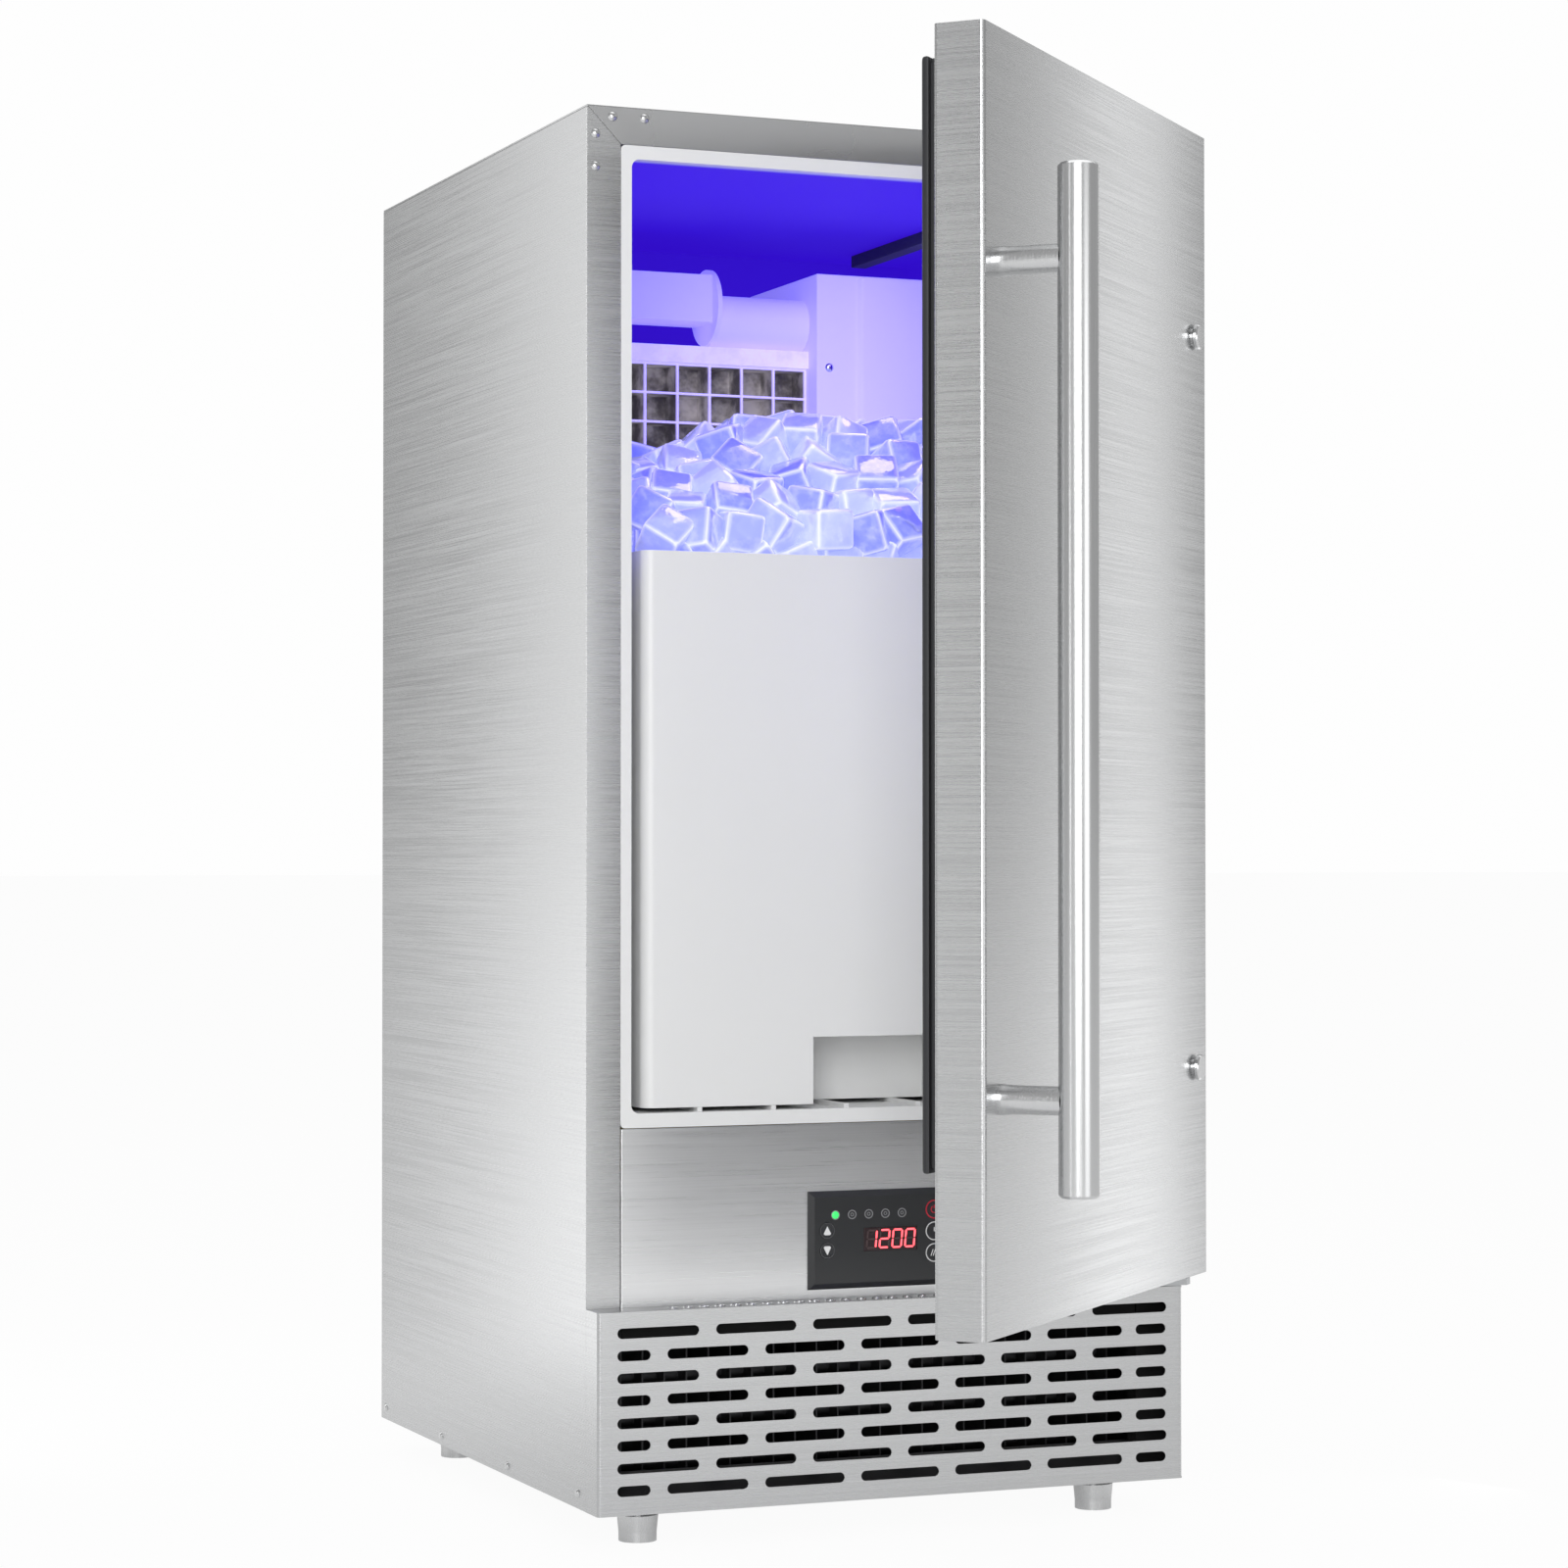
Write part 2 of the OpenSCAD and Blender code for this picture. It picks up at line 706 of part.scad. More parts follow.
// Water distributor over the cells: feed box, end flange and round tube
module water_distributor() {
    tube_r = 17.5;
    tube_z = feed_z;
    flange_x = -22;
    y = feed_y;
    color(white) {
        translate([flange_x, y, tube_z]) rotate([0, 90, 0]) difference() {
            cylinder(r = tube_r, h = evap_x1 - flange_x);
            translate([0, 0, 2]) cylinder(r = tube_r - 2, h = evap_x1 - flange_x);
        }
        difference() {
            span([evap_x0, y - 14, zc + 729], [flange_x, y + 16, zc + 760]);
            span([evap_x0 + 2, y - 12, zc + 731], [flange_x - 2, y + 14, zc + 761]);
        }
        translate([flange_x - 1, y, zc + 740]) rotate([0, 90, 0]) cylinder(r = 25, h = 3);
    }
}

// Sheet cover over the pump and the float
module pump_cover() {
    wall = 1.5;
    x1 = room_x - 1;
    z0 = trough_z1 + 2;
    z1 = zc + 763;
    y1 = yf + room_d - 1;
    color(white) difference() {
        span([cover_x0, cover_y0, z0], [x1, y1, z1]);
        span([cover_x0 + wall, cover_y0 + wall, z0 - cut], [x1 - wall, y1 + cut, z1 - wall]);
        translate([cover_x0 - cut, feed_y, feed_z]) rotate([0, 90, 0])
            cylinder(r = 6.5, h = wall + 2 * cut);
    }
}

// Open water trough under the cells and the pump
module water_trough() {
    wall = 2.5;
    x = room_x - 2;
    color(white) difference() {
        span([-x, trough_y0, trough_z0], [x, trough_y1, trough_z1]);
        span([-x + wall, trough_y0 + wall, trough_z0 + wall], [x - wall, trough_y1 - wall, trough_z1 + cut]);
    }
}

// Upright pump: motor, stem and volute with its outlet
module water_pump() {
    z0 = trough_z0 + 6;
    volute_r = 19;
    volute_h = 20;
    back = yf + room_d - pump_y - seam;
    color(dark) translate([pump_x, pump_y, 0]) {
        difference() {
            union() {
                translate([0, 0, z0]) cylinder(r = volute_r, h = volute_h);
                translate([0, 0, z0 + volute_h - 1]) cylinder(r = 9, h = 56);
                translate([0, 0, z0 + volute_h + 54]) cylinder(r = 22, h = 58);
                rod_y(0, -volute_r - 8, z0 + 10, 6, 14);
                span([-10, 18, z0 + volute_h + 60], [10, back, z0 + volute_h + 63]);
            }
            translate([0, 0, z0 + 3]) cylinder(r = volute_r - 3, h = volute_h - 6);
            translate([0, 0, z0 - cut]) cylinder(r = 7, h = 6);
            translate([0, 0, z0 + 10]) cylinder(r = 2.05, h = 30);
            rod_y(0, -volute_r - 8 - cut, z0 + 10, 4, 16);
        }
    }
}

// Vaned impeller and its shaft
module pump_impeller() {
    z0 = trough_z0 + 10.5;
    color(tin) translate([pump_x, pump_y, z0]) {
        cylinder(r = 13, h = 1.6);
        cylinder(r = 2, h = 30);
        for (a = [0 : 60 : 300])
            rotate([0, 0, a]) translate([1.5, -0.7, 1]) cube([11, 1.4, 8]);
    }
}

// Level float on its stem
module float_ring() {
    color([0.85, 0.4, 0.15]) translate([float_x, pump_y, trough_z0 + 12]) difference() {
        cylinder(r = 12, h = 16);
        translate([0, 0, -cut]) cylinder(r = 3.05, h = 16 + 2 * cut);
    }
}

// Stem with its stops and the bracket that holds it
module float_switch() {
    color(dark) translate([float_x, pump_y, 0]) {
        translate([0, 0, trough_z0 + 6]) cylinder(r = 3, h = 70);
        translate([0, 0, trough_z0 + 6]) cylinder(r = 6, h = 5.9);
        translate([0, 0, trough_z0 + 41]) cylinder(r = 6, h = 5);
        translate([0, 0, trough_z0 + 72]) cylinder(r = 9, h = 12);
        span([-8, -8, trough_z0 + 80], [8, yf + room_d - pump_y - 0.2, trough_z0 + 83]);
    }
}

// Probe that stops the machine when the bin is full
module bin_sensor() {
    color(dark) {
        span([room_x - 14, yf + 150, zc + 640], [room_x - 0.1, yf + 176, zc + 668]);
        translate([room_x - 8, yf + 163, zc + 592]) cylinder(r = 3, h = 49);
        translate([room_x - 8, yf + 163, zc + 588]) cylinder(r = 4.5, h = 14);
    }
}

// Long diffuser of the compartment lamp
module lamp_lens() {
    color([0.35, 0.3, 1]) along_y(yf + 36, 110)
        translate([120, ceil_z - 4.1]) rrect(22, 8, 2.5);
}

// Cable duct along the ceiling
module ceiling_duct() {
    color(dark) span([106, yf + 150, ceil_z - 8.1], [117, yf + 296, ceil_z - 0.1]);
}

// Soft tube from the pump up to the distributor
module riser_tube() {
    z0 = trough_z0 + 16;
    color([0.8, 0.82, 0.84])
        pipe([[pump_x, pump_y - 27.2, z0], [pump_x, feed_y, z0], [pump_x, feed_y, feed_z],
              [evap_x1 - 6, feed_y, feed_z]], 5);
}

// ---------------------------------------------------------------- machine

// Sealed compressor: hollow shell on a foot plate
module compressor() {
    r = comp_r;
    wall = 9;
    h = comp_h;
    color(dark) translate([comp_x, comp_y, comp_z]) {
        rotate_extrude() difference() {
            union() {
                translate([0, 30]) square([r, h - 60]);
                intersection() {
                    translate([0, 30]) rotate(0) square([r, h]);
                    translate([r - 30, h - 30]) circle(r = 30);
                }
                square([r - 30, h]);
                translate([r - 30, 30]) circle(r = 30);
            }
            translate([-r, -cut]) square([r, h + 2 * cut]);
            translate([0, wall]) square([r - wall - 14, h - 2 * wall]);
        }
        difference() {
            span([-68, -68, 0], [68, 68, 3]);
            for (sx = [-1, 1], sy = [-1, 1])
                translate([sx * 58, sy * 58, -cut]) cylinder(r = 7, h = 3 + 2 * cut);
        }
        span([-22, -r - 16, 60], [22, -r + 8, 110]);
    }
}

// Rubber mounts under the compressor
module compressor_grommets() {
    color(black) for (sx = [-1, 1], sy = [-1, 1])
        translate([comp_x + sx * 58, comp_y + sy * 58, 0]) difference() {
            union() {
                translate([0, 0, zc + 1.5]) cylinder(r = 11, h = comp_z - zc - 1.5);
                translate([0, 0, comp_z - 0.5]) cylinder(r = 6.9, h = 7);
            }
            translate([0, 0, zc]) cylinder(r = 3.2, h = 40);
        }
}

// Finned condenser behind the kick grille
module condenser() {
    x0 = -172;
    fins = 25;
    pitch = 14;
    y0 = yf + 31;
    depth = 35;
    z0 = zc + 6;
    h = 104;
    color([0.25, 0.26, 0.28]) {
        for (i = [0 : fins - 1])
            span([x0 + i * pitch, y0, z0], [x0 + i * pitch + 1, y0 + depth, z0 + h]);
        for (k = [0 : 3])
            rod([x0 - 1, y0 + depth / 2, z0 + 13 + k * 26],
                [x0 + (fins - 1) * pitch + 2, y0 + depth / 2, z0 + 13 + k * 26], 4.5);
    }
}

// Plate with the round fan opening
module fan_shroud() {
    y0 = yf + 68;
    color(tin) difference() {
        span([-168, y0, zc + 3], [166, y0 + 2, zc + 120]);
        rod_y(fan_x, y0 - cut, fan_z, 50, 2 + 2 * cut);
        for (x = [line_x, discharge_x])
            rod_y(x, y0 - cut, line_z, 3.8, 2 + 2 * cut);
    }
}

// Fan motor on a three-armed bracket
module fan_motor() {
    color(dark) {
        rod_y(fan_x, fan_y + 22, fan_z, 24, 34);
        rod_y(fan_x, fan_y - 4, fan_z, 3, 28);
        for (a = [90, 210, 330])
            translate([fan_x, fan_y + 26, fan_z]) rotate([0, a, 0]) span([18, 0, -4], [56, 3, 4]);
        for (a = [90, 210, 330])
            translate([fan_x, yf + 70, fan_z]) rotate([0, a, 0])
                span([53, 0, -4], [56, fan_y + 29 - yf - 70, 4]);
    }
}

// Five-bladed fan with its hub
module fan_blade() {
    color([0.15, 0.15, 0.16]) {
        difference() {
            rod_y(fan_x, fan_y - 10, fan_z, 14, 20);
            rod_y(fan_x, fan_y - 5, fan_z, 3.05, 20);
        }
        for (a = [0 : 72 : 288])
            translate([fan_x, fan_y, fan_z]) rotate([0, a, 0]) translate([12, 0, 0])
                rotate([32, 0, 0]) translate([0, -0.75, -12]) cube([33, 1.5, 24]);
    }
}

// Copper filter drier
module filter_drier() {
    color(copper) translate([-20, yf + 330, zc + 70]) rotate_extrude()
        polygon([[0, 0], [4, 0], [4, 12], [12, 24], [12, 96], [4, 108], [4, 120], [0, 120]]);
}

// Discharge, liquid and suction lines
module refrigerant_pipes() {
    r = 3.2;
    end_y = yf + 66.3;
    suction_y = comp_y + 20;
    color(copper) {
        pipe([[comp_x - comp_r - 0.2, comp_y, comp_z + 60], [discharge_x, comp_y, comp_z + 60],
              [discharge_x, comp_y, line_z], [discharge_x, end_y, line_z]], r);
        pipe([[-20, yf + 330, zc + 191], [-20, yf + 330, zc + 220], [-60, yf + 330, zc + 220],
              [-60, yf + 330, zc + 430]], r);
        pipe([[-20, yf + 330, zc + 69], [-20, yf + 330, zc + 50], [line_x, yf + 330, zc + 50],
              [line_x, yf + 120, zc + 50], [line_x, yf + 120, line_z], [line_x, end_y, line_z]], r);
        pipe([[comp_x, suction_y, comp_z + comp_h + 0.2], [comp_x, suction_y, zc + 220],
              [comp_x + 50, suction_y, zc + 220], [comp_x + 50, suction_y, zc + 430]], r + 1.5);
    }
}

// Solenoid inlet valve; its threaded end stands out of the rear panel
module inlet_valve() {
    color(white) translate([valve_x, 0, valve_z]) {
        rod_y(0, yb + 0.2, 0, 13.2, 13);
        rod_y(0, yb - 28, 0, 10, 29);
        rod_y(0, yb - 2.8, 0, 14.5, 3);
        span([-13, yb - 58, -13], [13, yb - 27, 13]);
        translate([0, yb - 44, 12]) cylinder(r = 14, h = 30);
    }
}

// Drain spigot with its collar
module drain_spigot() {
    color(dark) translate([spigot_x, 0, spigot_z]) difference() {
        union() {
            rod_y(0, yb - 20, 0, 8, 44);
            rod_y(0, yb + 0.2, 0, 14, 2.5);
        }
        rod_y(0, yb - 21, 0, 6, 46);
    }
}

// Mains inlet socket with three blades in its recess
module power_inlet() {
    color(black) translate([inlet_x, 0, inlet_z]) {
        difference() {
            union() {
                along_y(yb - 24, 24.2) rrect(28, 21, 2);
                along_y(yb + 0.2, 2) rrect(48, 26, 4);
            }
            along_y(yb - 18, 22) rrect(24.6, 16.6, 2);
        }
        for (p = [[-7, 1.5], [0, -2.5], [7, 1.5]])
            span([p[0] - 1, yb - 19, p[1] - 2], [p[0] + 1, yb - 4, p[1] + 2]);
    }
}

// ---------------------------------------------------------------- controls

// Bevelled front plate with its openings and the housing behind it
module control_bezel() {
    lift = 3;
    bevel = 3.5;
    hw = bezel_w / 2;
    hh = bezel_h / 2;
    yp = yf - 0.02;
    color(black) difference() {
        union() {
            translate([bezel_x, 0, bezel_z]) intersection() {
                translate([0, 0, -hh]) linear_extrude(bezel_h)
                    polygon([[-hw, yp], [-hw, yp - 0.6], [-hw + bevel, yp - lift],
                             [hw - bevel, yp - lift], [hw, yp - 0.6], [hw, yp]]);
                translate([-hw, 0, 0]) rotate([90, 0, 90]) linear_extrude(bezel_w)
                    polygon([[yp, -hh], [yp - 0.6, -hh], [yp - lift, -hh + bevel],
                             [yp - lift, hh - bevel], [yp - 0.6, hh], [yp, hh]]);
            }
            translate([bezel_x, 0, bezel_z])
                span([-hw + 6, yp - 0.5, -hh + 5], [hw - 6, yf + 12, hh - 5]);
        }
        translate([bezel_x, 0, bezel_z])
            span([-hw + 8, yf + 2.5, -hh + 7], [hw - 8, yf + 12 + cut, hh - 7]);
        for (p = key_list)
            rod_y(p[0], yf - lift - cut, p[1], key_d / 2 + 0.15, lift + 5);
        for (x = lamp_x)
            rod_y(x, yf - lift - cut, lamp_z, lamp_r + 0.05, lift + 5);
        along_y(yf - lift - cut, lift + 5) translate(display_at)
            square([display_w + 0.2, display_h + 0.2], center = true);
    }
}
key_list = [key_up_at, key_down_at, key_power_at, key_timer_at, key_clean_at];

// Smoked window over the digits
module display_window() {
    color([0.12, 0.02, 0.02]) along_y(yf - 2.9, 5) translate(display_at)
        square([display_w, display_h], center = true);
}

// Five status lamps, the first one lit
module indicator_lamps() {
    for (i = [0 : 4])
        color(i == 0 ? [0.1, 0.8, 0.25] : [0.35, 0.36, 0.37])
            rod_y(lamp_x[i], yf - 3.15, lamp_z, lamp_r, 6);
}

// Circuit board behind the bezel
module control_board() {
    color([0.1, 0.35, 0.2]) translate([bezel_x, 0, bezel_z]) {
        span([-38, yf + 7, -22], [38, yf + 8.6, 22]);
        for (x = [-28, -6, 20])
            span([x, yf + 8.5, -14], [x + 12, yf + 16, 4]);
    }
}

// Round key with a shallow dish, standing a little proud
module key(p) {
    color(black) difference() {
        rod_y(p[0], yf - 3.3, p[1], key_d / 2, 5.2);
        translate([p[0], yf - 3.3 - 21.2, p[1]]) sphere(r = 21.5);
    }
}

module key_up() {
    key(key_up_at);
}

module key_down() {
    key(key_down_at);
}

module key_power() {
    key(key_power_at);
}

module key_timer() {
    key(key_timer_at);
}

module key_clean() {
    key(key_clean_at);
}

side_panel_left();
side_panel_right();
top_panel();
rear_panel();
base_pan();
lower_front_panel();
kick_grille();
inner_liner();
foam_insulation();
frame_plugs();
cabinet_screws();
foot_front_left();
foot_front_right();
foot_rear_left();
foot_rear_right();
door_skin();
door_liner();
door_foam();
door_caps();
door_gasket();
handle_bar();
handle_posts();
blanking_studs();
hinge_bushes();
hinge_top();
hinge_bottom();
ice_bin();
evaporator_grid();
evaporator_coil();
water_distributor();
pump_cover();
water_trough();
water_pump();
pump_impeller();
float_ring();
float_switch();
bin_sensor();
lamp_lens();
ceiling_duct();
riser_tube();
compressor();
compressor_grommets();
condenser();
fan_shroud();
fan_motor();
fan_blade();
filter_drier();
refrigerant_pipes();
inlet_valve();
drain_spigot();
power_inlet();
control_bezel();
display_window();
indicator_lamps();
control_board();
key_up();
key_down();
key_power();
key_timer();
key_clean();
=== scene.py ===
"""Under-counter ice maker: finishes, ice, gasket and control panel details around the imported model."""

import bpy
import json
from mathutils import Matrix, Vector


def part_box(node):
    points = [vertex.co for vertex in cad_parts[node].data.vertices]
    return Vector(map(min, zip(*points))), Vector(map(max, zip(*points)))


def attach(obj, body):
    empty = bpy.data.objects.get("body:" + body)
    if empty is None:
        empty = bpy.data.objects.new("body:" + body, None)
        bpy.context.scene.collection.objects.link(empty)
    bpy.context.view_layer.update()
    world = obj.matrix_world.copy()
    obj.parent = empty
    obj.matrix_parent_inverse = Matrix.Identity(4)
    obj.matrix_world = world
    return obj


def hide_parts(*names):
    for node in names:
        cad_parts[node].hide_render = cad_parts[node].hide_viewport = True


bl_info = {
    "name": "Under-counter ice maker",
    "version": (1, 0, 0),
    "blender": (4, 5, 0),
    "location": "3D View > Sidebar > Ice maker",
    "description": "Brushed steel ice maker with a lit compartment, ice and a control panel",
    "category": "Object",
}

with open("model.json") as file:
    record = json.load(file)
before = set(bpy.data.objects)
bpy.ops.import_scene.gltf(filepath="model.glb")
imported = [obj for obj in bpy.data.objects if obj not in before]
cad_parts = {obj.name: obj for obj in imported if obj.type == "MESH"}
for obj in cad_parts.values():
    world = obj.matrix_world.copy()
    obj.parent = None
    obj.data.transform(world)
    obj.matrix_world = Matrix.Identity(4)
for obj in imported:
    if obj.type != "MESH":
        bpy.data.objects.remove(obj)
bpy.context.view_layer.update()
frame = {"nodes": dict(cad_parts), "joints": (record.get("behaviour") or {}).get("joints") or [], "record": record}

import json
import math

import bpy
import numpy as np
from mathutils import Vector

NODES = frame["nodes"]
MM = 0.001


def joint(name):
    """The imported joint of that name."""
    return next(j for j in frame["joints"] if j["name"] == name)


# ------------------------------------------------------------------ places taken from the frame

FRONT_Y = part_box("side_panel_left")[0].y
FLOOR_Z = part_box("inner_liner")[0].z
CEILING_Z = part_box("lamp_lens")[1].z
BIN_LOW, BIN_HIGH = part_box("ice_bin")
BIN_WALL = 3 * MM
CELL_LOW, CELL_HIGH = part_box("evaporator_grid")
GRILLE_LOW, GRILLE_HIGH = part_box("kick_grille")
SIDE_X = GRILLE_HIGH.x
DOOR_SWING = joint("door_swing")
HINGE = Vector(DOOR_SWING["pos_m"])
DOOR_OPEN = -math.radians(DOOR_SWING["range_deg"][0])
DOOR_HALF = 190.5 * MM
DOOR_REAR_Y = FRONT_Y - 12.3 * MM
DOOR_FRONT_Y = DOOR_REAR_Y - 28.9 * MM
BEZEL_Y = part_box("control_bezel")[0].y
DISPLAY_LOW, DISPLAY_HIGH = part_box("display_window")
LAMPS_LOW, LAMPS_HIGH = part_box("indicator_lamps")

# Camera: place in metres, turn to the right and tilt up in degrees, lens in millimetres
CAMERA_AT = (-0.9532, -2.3492, 0.4062)
CAMERA_YAW = 22.40
CAMERA_TILT = 0.97
CAMERA_LENS = 90.0
# How much of the white floor and backdrop metal and ice see
MIRRORED_WHITE = 0.45
# Half the width of the floor, in metres
FLOOR_REACH = 60.0


def color_prop(name, text, value):
    """A linear RGB colour property."""
    return bpy.props.FloatVectorProperty(
        name=name, description=text, subtype="COLOR", size=3, min=0, max=1, default=value)


class IceMakerFinish(bpy.types.PropertyGroup):
    """Colours of the surfaces."""

    steel: color_prop("Steel", "Brushed sheet steel", (0.56, 0.565, 0.57))
    bright: color_prop("Bright metal", "Handle, feet, screws and plugs", (0.66, 0.665, 0.67))
    white: color_prop("White plastic", "Liner, bin and covers", (0.80, 0.805, 0.80))
    black: color_prop("Black plastic", "Bezel, keys and caps", (0.024, 0.025, 0.027))
    copper: color_prop("Copper", "Refrigerant tubes", (0.62, 0.27, 0.13))
    glow: color_prop("Compartment light", "Colour of the compartment lamp", (0.055, 0.006, 0.95))
    digits: color_prop("Digits", "Colour of the lit digits", (1.0, 0.035, 0.05))


class IceMakerSizes(bpy.types.PropertyGroup):
    """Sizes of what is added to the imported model."""

    cube: bpy.props.FloatProperty(
        name="Ice cube", description="Edge length of an ice cube", unit="LENGTH",
        default=26 * MM, min=0.01, max=0.03)
    heap: bpy.props.FloatProperty(
        name="Heap height", description="Height of the ice heap over the bin's rim",
        unit="LENGTH", default=96 * MM, min=0.02, max=0.12)
    show_ice: bpy.props.BoolProperty(
        name="Ice", description="Fill the bin with ice cubes", default=True)
    digit_h: bpy.props.FloatProperty(
        name="Digit height", description="Height of one display digit", unit="LENGTH",
        default=10.4 * MM, min=0.004, max=0.013)
    edge: bpy.props.FloatProperty(
        name="Edge rounding", description="Radius left on folded and moulded edges",
        unit="LENGTH", default=0.5 * MM, min=0.0001, max=0.002)


# ------------------------------------------------------------------ small helpers

def finish_props():
    """The colours set in the sidebar."""
    return bpy.context.scene.ice_maker_finish


def size_props():
    """The sizes set in the sidebar."""
    return bpy.context.scene.ice_maker_sizes


def with_door(points):
    """Closed-door points turned about the hinge axis by the angle the door stands open."""
    points = np.asarray(points, float)
    c, s = math.cos(DOOR_OPEN), math.sin(DOOR_OPEN)
    x, y = points[..., 0] - HINGE.x, points[..., 1] - HINGE.y
    return np.stack([HINGE.x + c * x - s * y, HINGE.y + s * x + c * y, points[..., 2]], -1)


def mesh_piece(name, vertices, faces, body, material, smooth=True):
    """A mesh object from arrays of points and of equal-sided faces, riding on a body."""
    mesh = bpy.data.meshes.new(name)
    mesh.from_pydata(np.asarray(vertices, float).tolist(), [], np.asarray(faces).tolist())
    mesh.polygons.foreach_set("use_smooth", np.full(len(mesh.polygons), smooth))
    mesh.materials.append(material)
    mesh.validate()
    mesh.update()
    piece = bpy.data.objects.new(name, mesh)
    bpy.context.scene.collection.objects.link(piece)
    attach(piece, body)
    return piece


def grid_faces(rows, columns, wrap_rows=False, wrap_columns=False):
    """Quads between neighbouring points of a rows by columns grid, closed round where asked."""
    r = np.arange(rows if wrap_rows else rows - 1)
    c = np.arange(columns if wrap_columns else columns - 1)
    r, c = (a.ravel() for a in np.meshgrid(r, c, indexing="ij"))
    r2, c2 = (r + 1) % rows, (c + 1) % columns
    return np.stack([r * columns + c, r * columns + c2, r2 * columns + c2, r2 * columns + c], 1)


def bevel(piece, width, segments=2, angle=32):
    """Joined points, rounded sharp edges and flat-keeping normals, as live modifiers."""
    weld = piece.modifiers.new("Weld", "WELD")
    weld.merge_threshold = 0.00002
    rounding = piece.modifiers.new("Bevel", "BEVEL")
    rounding.width = width
    rounding.segments = segments
    rounding.limit_method = "ANGLE"
    rounding.angle_limit = math.radians(angle)
    rounding.use_clamp_overlap = True
    normals = piece.modifiers.new("Normals", "WEIGHTED_NORMAL")
    normals.mode = "FACE_AREA_WITH_ANGLE"
    normals.weight = 80


# ------------------------------------------------------------------ node building

def put(tree, kind, inputs=None, **settings):
    """One shader node; inputs are sockets to join or values to set."""
    made = tree.nodes.new(kind)
    for key, value in settings.items():
        setattr(made, key, value)
    for key, value in (inputs or {}).items():
        if isinstance(value, bpy.types.NodeSocket):
            tree.links.new(value, made.inputs[key])
        else:
            made.inputs[key].default_value = value
    return made


def group_tree(name, inputs, outputs):
    """A new shader node group with float, vector or colour sockets; returns tree, in and out nodes."""
    tree = bpy.data.node_groups.new(name, "ShaderNodeTree")
    kinds = {"f": "NodeSocketFloat", "v": "NodeSocketVector", "c": "NodeSocketColor"}
    for label, kind, default in inputs:
        socket = tree.interface.new_socket(label, in_out="INPUT", socket_type=kinds[kind])
        socket.default_value = default
    for label, kind in outputs:
        tree.interface.new_socket(label, in_out="OUTPUT", socket_type=kinds[kind])
    return tree, tree.nodes.new("NodeGroupInput"), tree.nodes.new("NodeGroupOutput")


def maths(tree, operation, a, b=0.0, clamp=False):
    """The value of one maths node."""
    return put(tree, "ShaderNodeMath", {0: a, 1: b}, operation=operation, use_clamp=clamp).outputs[0]


def ramp(tree, value, low, high, out_low=0.0, out_high=1.0):
    """A value mapped from low..high to out_low..out_high and held there."""
    return put(tree, "ShaderNodeMapRange", {"Value": value, "From Min": low, "From Max": high,
               "To Min": out_low, "To Max": out_high}, interpolation_type="SMOOTHSTEP").outputs[0]


def noise(tree, vector, scale, detail=2.0, rough=0.5):
    """Soft noise from 0 to 1 at a scale per metre."""
    return put(tree, "ShaderNodeTexNoise", {"Vector": vector, "Scale": scale, "Detail": detail,
               "Roughness": rough}).outputs["Fac"]


def tinted(tree, color, value, low, high):
    """A colour multiplied by a grey that runs from low to high with value."""
    grey = put(tree, "ShaderNodeMapRange", {"Value": value, "To Min": low, "To Max": high}).outputs[0]
    return put(tree, "ShaderNodeVectorMath", {0: (*color,), 1: grey_vector(tree, grey)},
               operation="MULTIPLY").outputs[0]


def grey_vector(tree, value):
    """The same value on all three channels."""
    return put(tree, "ShaderNodeCombineXYZ", {0: value, 1: value, 2: value}).outputs[0]


def mixed(tree, factor, a, b):
    """Colour a changed to colour b by factor."""
    node = put(tree, "ShaderNodeMix", {"Factor": factor}, data_type="RGBA")
    for index, value in ((6, a), (7, b)):
        if isinstance(value, bpy.types.NodeSocket):
            tree.links.new(value, node.inputs[index])
        else:
            node.inputs[index].default_value = (*value, 1.0)
    return node.outputs[2]


def grain_group():
    """Brushed grain: noise drawn out along the brushing, in three lengths of streak."""
    tree, given, out = group_tree(
        "brushed_grain", [("Stretch", "v", (5.0, 5.0, 620.0))],
        [("Tone", "f"), ("Height", "f"), ("Cloud", "f")])
    place = put(tree, "ShaderNodeTexCoord").outputs["Object"]
    drawn = put(tree, "ShaderNodeVectorMath", {0: place, 1: given.outputs["Stretch"]},
                operation="MULTIPLY").outputs[0]
    fine = noise(tree, drawn, 2.3, 3.0, 0.7)
    long = noise(tree, drawn, 0.95, 2.0, 0.6)
    patch = noise(tree, drawn, 0.30, 2.0, 0.5)
    both = maths(tree, "ADD", maths(tree, "MULTIPLY", fine, 0.52), maths(tree, "MULTIPLY", long, 0.30))
    tone = maths(tree, "ADD", both, maths(tree, "MULTIPLY", patch, 0.12))
    tree.links.new(ramp(tree, tone, 0.26, 0.66), out.inputs["Tone"])
    tree.links.new(fine, out.inputs["Height"])
    tree.links.new(noise(tree, place, 3.2, 1.0, 0.4), out.inputs["Cloud"])
    return tree


def moulded_group():
    """Moulded plastic: faint cloudiness of the colour and a fine orange peel."""
    tree, given, out = group_tree(
        "moulded_skin", [("Peel", "f", 900.0)], [("Cloud", "f"), ("Peel height", "f")])
    place = put(tree, "ShaderNodeTexCoord").outputs["Object"]
    tree.links.new(noise(tree, place, 7.0, 3.0, 0.55), out.inputs["Cloud"])
    peel = put(tree, "ShaderNodeTexNoise", {"Vector": place, "Scale": given.outputs["Peel"],
                                            "Detail": 1.0}).outputs["Fac"]
    tree.links.new(peel, out.inputs["Peel height"])
    return tree


